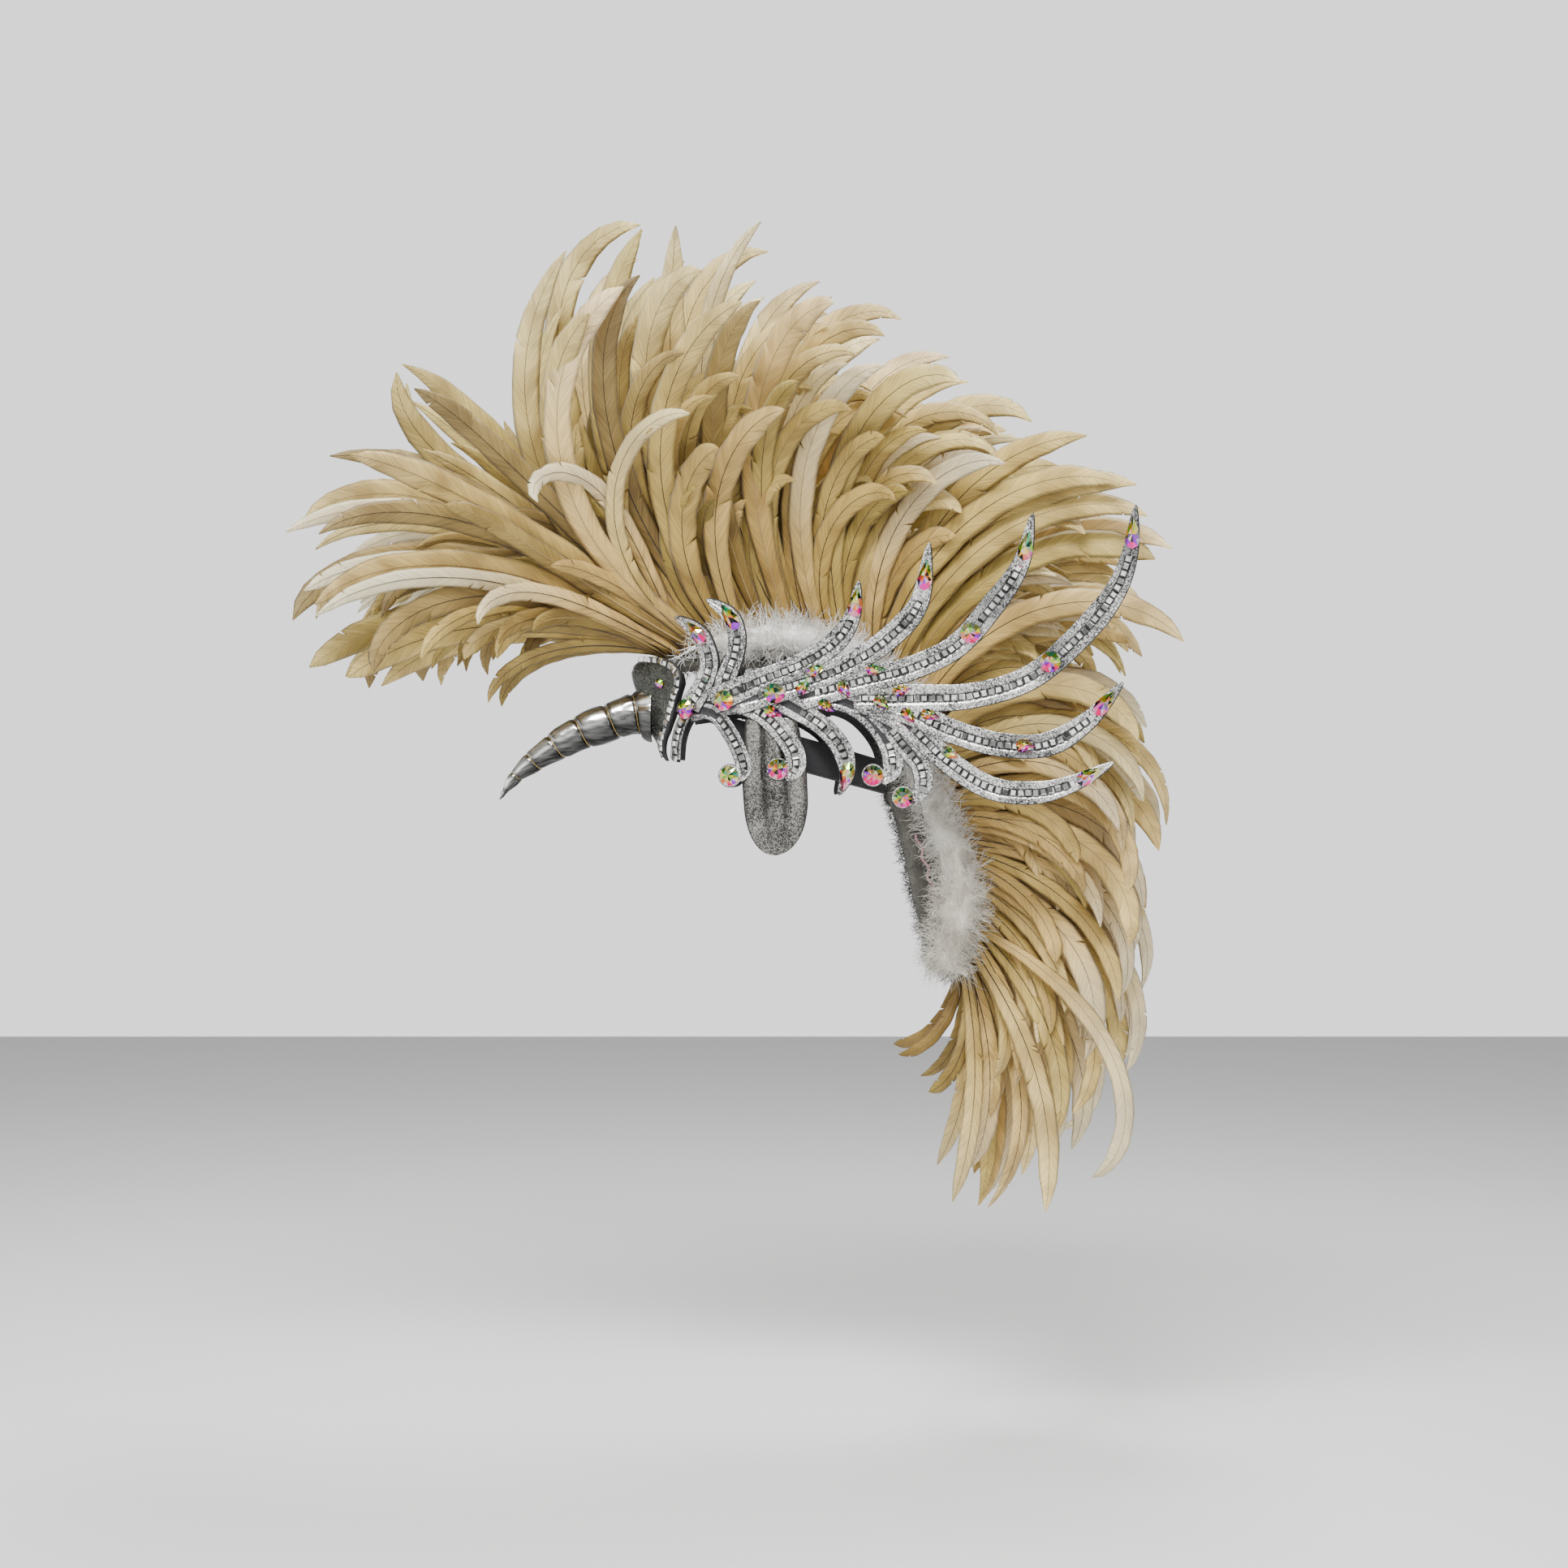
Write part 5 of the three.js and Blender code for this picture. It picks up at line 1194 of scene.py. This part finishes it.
def foam_wing(side, name):
    ROUND = 40
    points = []
    faces = []
    pick = []
    count = 0
    for number, (scroll, line) in enumerate(zip(scrolls, scroll_lines)):
        top = foam_level(number)
        low = 0.0
        steps = int(line.length / (3 * MM)) + 8
        share = np.linspace(0, 1, steps)
        if scroll[2] == "point":
            share = 1 - (1 - share) ** 1.35
        half = half_width(scroll, share)[:, None]
        edge = np.minimum(EDGE, half * 0.3)
        track = np.where(share < scroll[3] * 0.99, TRACK / 2, 0.02 * MM)[:, None]
        track = np.minimum(track, (half - edge) * 0.7)
        ones = np.ones_like(half)
        across = [-half, -half, -half + 0.3 * edge, -half + edge, -(half + track) / 2, -track - 0.1 * edge,
                  -track, 0 * half, track, track + 0.1 * edge, half - edge, half - 0.3 * edge, half, half]
        crown = top + 0.2 * MM
        height = [low, top - 0.5 * MM, top - 0.1 * MM, top, crown, crown, top - 0.1 * MM, top - 0.1 * MM,
                  top - 0.1 * MM, crown, top, top - 0.1 * MM, top - 0.5 * MM, low]
        kinds = [1, 1, 1, 0, 0, 1, 1, 1, 1, 0, 0, 1, 1, 1]
        centre = line.at(share)[:, None]
        tangent = line.heading(share)
        aside = np.stack([-tangent[:, 1], tangent[:, 0], 0 * share], -1)[:, None]
        across = np.concatenate(across, axis=1)
        flat = centre + aside * across[..., None]
        flat[..., 2] = np.concatenate([h * ones for h in height], axis=1)
        columns = across.shape[1]
        points.append(flat.reshape(-1, 3))
        faces += capped(steps, columns, start=count)
        pick += kinds * (steps - 1) + [1, 1]
        count += steps * columns
        if scroll[2] == "round":
            spot = end_seat(scroll, line)[0]
            turn = full_turn(ROUND)
            disc = ROUND_STONE / 2 + 1.4 * MM
            rings = [(disc, low), (disc, top - 0.3 * MM), (disc - 0.4 * MM, top + 0.05 * MM),
                     (disc - EDGE, top + 0.08 * MM), (disc * 0.5, top + 0.2 * MM),
                     (0.2 * MM, top + 0.22 * MM)]
            ring = np.stack([np.stack([spot[0] + r * np.cos(turn), spot[1] + r * np.sin(turn),
                                       h + 0 * turn], -1) for r, h in rings])
            points.append(ring.reshape(-1, 3))
            faces += [f[::-1] for f in capped(len(rings), ROUND, start=count)]
            pick += [1] * ROUND * 3 + [0] * ROUND * 2 + [1, 0]
            count += len(rings) * ROUND
    flat = np.vstack(points)
    shape = bent(flat)
    shape[:, 0] *= side
    piece = add_piece("wing_foam_" + name, shape, faces, [silver_glitter, black_foam], pick=pick)
    # Painted shade in patches over the wing, stored for the glitter.
    painted_shade = np.zeros(len(flat))
    for along, up, size in painted_shade_spots:
        spot = on_wing(along, up)
        far = np.hypot(flat[:, 0] - spot[0], flat[:, 1] - spot[1]) / (size * WING_LENGTH)
        painted_shade = np.maximum(painted_shade, 0.75 * np.clip(1.4 - far, 0, 1))
    store_on(piece.data, "painted_shade", "FLOAT", "POINT", painted_shade)
    return piece


# Crystals over the hub and the blades: name, along, up
hub_stones = [("brow", 0.036, 0.173), ("temple", 0.118, 0.19), ("side", 0.225, 0.206),
              ("third_blade_mid", 0.654, 0.337), ("great_blade_mid", 0.826, 0.272)]
# Small crystals between the scrolls: along, up, turn in degrees
small_stones = [(0.289, 0.222, 60), (0.317, 0.258, 20), (0.223, 0.164, -20), (0.341, 0.177, -35),
                (0.38, 0.213, -60), (0.448, 0.258, 5), (0.505, 0.212, 10),
                (0.462, 0.183, -40), (0.52, 0.155, -45), (0.568, 0.157, -15),
                (0.612, 0.074, -35), (0.773, 0.089, 0)]


def square_rows():
    """Places and ways of the squares, leaving out those under a later scroll or a crystal."""
    stones = [on_wing(a, u) for _, a, u in hub_stones] + [on_wing(a, u) for a, u, _ in small_stones]
    kept = []
    for number, (scroll, line) in enumerate(zip(scrolls, scroll_lines)):
        reach = line.length * scroll[3]
        for way in np.arange(SQUARE_PITCH / 2, reach, SQUARE_PITCH):
            share = way / line.length
            spot = line.at(share)
            tangent = line.heading(share)
            hidden = any(np.hypot(*(spot - stone)[:2]) < 3 * MM for stone in stones)
            for later in range(number + 1, len(scrolls)):
                other = scroll_lines[later]
                far = np.hypot(other.line[:, 0] - spot[0], other.line[:, 1] - spot[1])
                nearest = int(np.argmin(far))
                wide = half_width(scrolls[later], np.array(other.way[nearest] / other.length))
                hidden = hidden or far[nearest] < wide + SQUARE * 0.1
            if not hidden:
                spot[2] = foam_level(number) + 0.12 * MM
                kept.append((spot, tangent))
    return kept


rows = square_rows()
for side, name in both_sides:
    wing = foam_wing(side, name)
    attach(wing, "root")
    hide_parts("wing_" + name)
    base = bent(np.array([spot for spot, _ in rows]))
    above = bent(np.array([spot + (0, 0, MM) for spot, _ in rows]))
    ahead = bent(np.array([spot + tangent * MM for spot, tangent in rows]))
    for place in (base, above, ahead):
        place[:, 0] *= side
    normal = above - base
    normal /= np.linalg.norm(normal, axis=1, keepdims=True)
    along = ahead - base
    along -= normal * np.einsum("ij,ij->i", along, normal)[:, None]
    along /= np.linalg.norm(along, axis=1, keepdims=True)
    turns = euler_of(np.stack([along, np.cross(normal, along), normal], axis=1))
    stones = set_squares("wing_square_crystals_" + name, base, turns, 5)
    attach(stones, "root")
    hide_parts("stone_trim_" + name)


# Crystals. Foil-backed glass stones with a rainbow coating are glued on: round ones on the curls
# and the hub, pear shapes at the points, and small pears scattered between the scrolls.
STONE_HEIGHT = 4 * MM
ON_SQUARES = 7.2 * MM
PEAR_LENGTH = 26.4 * MM
PEAR_WIDTH = 14.4 * MM
SMALL_LENGTH = 17 * MM
SMALL_WIDTH = 11 * MM
FLAT_BACK = 2.2 * MM

rainbow, tree, shader = new_finish("rainbow coated crystal", Metallic=1.0, Roughness=0.1)
clear = stored_on(tree, "clear")
coating = colour_steps(tree, stored_on(tree, "fire"), [
    (0.0, (0.75, 0.0, 0.14)), (0.14, (0.85, 0.02, 0.4)), (0.24, (0.3, 0.03, 0.6)), (0.34, (0.02, 0.02, 0.02)),
    (0.4, (0.85, 0.16, 0.02)), (0.5, (0.8, 0.5, 0.05)), (0.58, (0.6, 0.6, 0.02)), (0.7, (0.2, 0.55, 0.03)),
    (0.8, (0.01, 0.06, 0.04)), (0.88, (0.02, 0.4, 0.2)), (0.96, (0.75, 0.85, 0.35))], sharp=True)
tree.links.new(blended(tree, clear, coating, (0.74, 0.78, 0.7, 1)), shader.inputs["Base Color"])


def cut_crystal(length, width, pear):
    """Facets of a stone on its flat back: rings from girdle to top, as triangles."""
    COUNT = 10 if pear else 12
    crown = min(STONE_HEIGHT, width * 0.35)
    rings = []
    for share, height, twist in ((0.96, -FLAT_BACK, 0.0), (1.0, 0.0, 0.0), (0.55, 0.75, 0.5)):
        turn = 2 * math.pi * (np.arange(COUNT) + twist) / COUNT
        y = np.sin(turn) * (np.abs(np.sin(turn / 2)) ** 1.1 * 1.22 if pear else 1)
        z = height * crown if height > 0 else height
        rings.append(np.stack([np.cos(turn) * share * length / 2, y * share * width / 2, 0 * turn + z], -1))
    points = np.vstack(rings + [[[0, 0, crown]], [[0, 0, -FLAT_BACK]]])
    faces = []
    for ring in range(2):
        for c in range(COUNT):
            a, b = ring * COUNT + c, ring * COUNT + (c + 1) % COUNT
            d, e = a + COUNT, b + COUNT
            faces += [(a, b, d), (b, e, d)]
    last = 2 * COUNT
    faces += [(last + c, last + (c + 1) % COUNT, len(points) - 2) for c in range(COUNT)]
    faces += [((c + 1) % COUNT, c, len(points) - 1) for c in range(COUNT)]
    return points, faces


def stone_fire(stone, faces, leaning):
    """Each facet's share of the rainbow: warm below and green above, broken up a little."""
    middle = np.array([stone[list(face)].mean(axis=0) for face in faces])
    size = np.abs(stone[:, :2]).max()
    lit = middle[:, 0] * math.cos(leaning) + middle[:, 1] * math.sin(leaning)
    turned = 0.56 + chance.uniform(-0.2, 0.2)
    return np.clip(turned + 0.55 * lit / size + chance.uniform(-0.2, 0.2, len(faces)), 0, 1)


def seat_crystal(spot, tangent, low):
    """The axes and the place that lay a flat stone on the bent wing."""
    flat = np.array([spot[0], spot[1], low])
    base = bent(flat)
    normal = bent(flat + (0, 0, MM)) - base
    normal /= np.linalg.norm(normal)
    back = np.array([-normal[1], normal[0], 0])
    back /= np.linalg.norm(back)
    up = np.cross(normal, back)
    along = back * tangent[0] + up * tangent[1]
    return base, along, np.cross(normal, along), normal


def place_crystal(name, shapes, side):
    """One mesh of one or more seated stones, each facet with its own share of the rainbow."""
    points = []
    faces = []
    colours = []
    for (stone, quads), (base, along, across, normal) in shapes:
        start = sum(len(p) for p in points)
        up = math.atan2(across[2], along[2]) + chance.uniform(-0.5, 0.5)
        colours.append(stone_fire(stone, quads, up))
        points.append(base + stone[:, :1] * along + stone[:, 1:2] * across + stone[:, 2:] * normal)
        faces += [tuple(start + i for i in q) for q in quads]
    places = np.vstack(points)
    places[:, 0] *= side
    piece = add_piece(name, places, faces, [rainbow], smooth=False)
    store_on(piece.data, "fire", "FLOAT", "FACE", np.concatenate(colours))
    store_on(piece.data, "clear", "FLOAT", "FACE", 0.8 * chance.uniform(0, 1, len(faces)) ** 4)
    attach(piece, "root")
    return piece


for side, name in both_sides:
    seats = [(label, on_wing(a, u), (1.0, 0.0, 0.0), ON_SQUARES, False) for label, a, u in hub_stones]
    for number, (scroll, line) in enumerate(zip(scrolls, scroll_lines)):
        if scroll[2] != "square":
            spot, tangent = end_seat(scroll, line)
            low = foam_level(number) + FLAT_BACK + 0.1 * MM
            seats.append((scroll[0], spot, tangent, low, scroll[2] == "point"))
    for label, spot, tangent, low, pear in seats:
        stone = cut_crystal(*((PEAR_LENGTH, PEAR_WIDTH) if pear else (ROUND_STONE, ROUND_STONE)), pear)
        piece = place_crystal(f"{label}_crystal_{name}", [(stone, seat_crystal(spot, tangent, low))], side)
        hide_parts(f"{label}_stone_{name}")
    small = []
    for along, up, turn in small_stones:
        way = (math.cos(math.radians(turn)), math.sin(math.radians(turn)), 0)
        small.append((cut_crystal(SMALL_LENGTH, SMALL_WIDTH, True),
                      seat_crystal(on_wing(along, up), way, foam_level(len(scrolls)) + FLAT_BACK)))
    piece = place_crystal("small_crystals_" + name, small, side)


def on_plate(up, across):
    """The axes and the place that lay a stone on the forehead plate."""
    base = plate_point(np.array(up), np.array(across), PLATE_THICKNESS)
    right = plate_point(np.array(up), np.array(across + 0.02), PLATE_THICKNESS) - base
    above = plate_point(np.array(up + 0.01), np.array(across), PLATE_THICKNESS) - base
    normal = np.cross(right, above)
    normal /= np.linalg.norm(normal)
    above /= np.linalg.norm(above)
    return base + normal * (FLAT_BACK - 0.2 * MM), above, np.cross(normal, above), normal


plate_stones = [(cut_crystal(9 * MM, 9 * MM, False), on_plate(0.74, across)) for across in (-0.56, 0.56)]
piece = place_crystal("plate_crystals", plate_stones, 1)


# Ear flaps. A leaf of foam faced with pewter glitter hangs over each ear from behind the curls,
# pressed into three flutes and edged in black.
FLAP_WIDTH = 57 * MM
FLAP_LENGTH = 122 * MM
FLAP_THICKNESS = 3 * MM
FLUTE_DEPTH = 2.2 * MM
FLAP_TOP = 26 * MM
FLUTES = 3
CHEEK_IN = 7 * MM
ROUNDED_FROM = 0.55
flap_glitter = glitter_finish("ear flap glitter", (0.03, 0.029, 0.027), (0.4, 0.39, 0.36), 1000.0,
                              painted_shading=True)
# Down the flap: place, half width, centre
flap_rows = [(0.0, 0.4, -0.08), (0.35, 0.51, -0.04), (0.62, 0.5, -0.01),
             (0.8, 0.41, -0.01), (0.94, 0.25, -0.02),
             (1.0, 0.07, -0.03)]


def ear_flap(side, name):
    ROWS = 60
    COLUMNS = 49
    drop = np.sin(np.linspace(0, math.pi / 2, ROWS))[:, None]
    soft = np.sqrt(np.maximum(0, 1 - np.maximum(0, (drop - ROUNDED_FROM) / 0.45) ** 2.4))
    rounded = read_off(flap_rows, ROUNDED_FROM, 1) * np.maximum(soft, 0.03)
    half = np.where(drop > ROUNDED_FROM, rounded, read_off(flap_rows, drop, 1))
    centre = read_off(flap_rows, drop, 2)
    across = np.linspace(-1, 1, COLUMNS)
    y = (centre + half * across) * FLAP_WIDTH
    ridge = np.abs(np.sin(np.pi * FLUTES * (across + 1) / 2)) ** 0.8
    fluted = FLUTE_DEPTH * 1.8 * ridge * np.minimum(1, 2.4 * (1 - drop))
    points = []
    for rise in (FLAP_THICKNESS, 0.0):
        offset = BAND_THICKNESS + GAP + rise + fluted
        x = side_of(y, offset) - CHEEK_IN * np.maximum(0, drop - 0.45)
        points.append(np.stack([side * x, y, FLAP_TOP - drop * FLAP_LENGTH + 0 * y], -1).reshape(-1, 3))
    faces = sheet_faces(ROWS, COLUMNS)
    pick = [1 if c in (0, COLUMNS - 2) or r == ROWS - 2 else 0
            for r in range(ROWS - 1) for c in range(COLUMNS - 1)]
    pick += [1] * (len(faces) - len(pick))
    piece = add_piece("ear_flap_foam_" + name, np.vstack(points), faces,
                      [flap_glitter, black_foam], pick=pick)
    # Painted shade in the flutes' hollows, fading out where the flutes flatten towards the foot.
    painted_shade = np.clip(1.15 - 1.3 * ridge, 0, 0.9) * np.minimum(1, 2.4 * (1 - drop))
    store_on(piece.data, "painted_shade", "FLOAT", "POINT", [painted_shade, painted_shade])
    return piece


for side, name in both_sides:
    flap = ear_flap(side, name)
    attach(flap, "root")
    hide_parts("ear_flap_" + name)


# Studio. A pale paper floor lies under the headdress, lit by soft boxes under a bright belt of sky.
FLOOR_LEVEL = -0.62
paper, tree, shader = new_finish("pale paper", Roughness=0.9)
colour_in(tree, shader, grain(tree, object_place(tree), 3.0),
          [(0.0, (0.86, 0.86, 0.85)), (1.0, (0.9, 0.9, 0.9))])
corners = [(x, y, FLOOR_LEVEL) for x, y in ((-4, -4), (4, -4), (4, 4), (-4, 4))]
floor = add_piece("floor", corners, [(0, 1, 2, 3)], [paper])
world = bpy.data.worlds.new("studio")
world.use_nodes = True
tree = world.node_tree
sky = add_node(tree, "ShaderNodeSeparateXYZ", {0: add_node(tree, "ShaderNodeTexCoord").outputs["Generated"]})
height = sums(tree, "ADD", sums(tree, "MULTIPLY", sky.outputs[2], 0.5), 0.5)
belt = colour_steps(tree, height, greys((0.0, 0.1), (0.3, 0.15), (0.36, 1.0), (0.64, 1.0), (0.7, 0.2),
                                        (1.0, 0.15)))
tree.links.new(belt, tree.nodes["Background"].inputs["Color"])
tree.nodes["Background"].inputs["Strength"].default_value = 1.55
bpy.context.scene.world = world


def soft_box(name, place, aim, wide, tall, watts):
    light = bpy.data.lights.new(name, "AREA")
    light.shape = "RECTANGLE"
    light.size = wide
    light.size_y = tall
    light.energy = watts
    lamp = new_object(name, light)
    lamp.location = place
    way = np.array(aim, float) - np.array(place, float)
    lamp.rotation_euler = Vector(way.tolist()).to_track_quat("-Z", "Y").to_euler()


soft_box("key", (1.4, -0.4, 1.7), (0, 0, 0), 1.6, 0.45, 95)
soft_box("fill", (1.9, 1.3, 0.5), (0, 0, 0), 0.8, 0.8, 8)
soft_box("top", (-0.6, 0.2, 1.8), (0, 0, 0), 0.6, 0.6, 36)
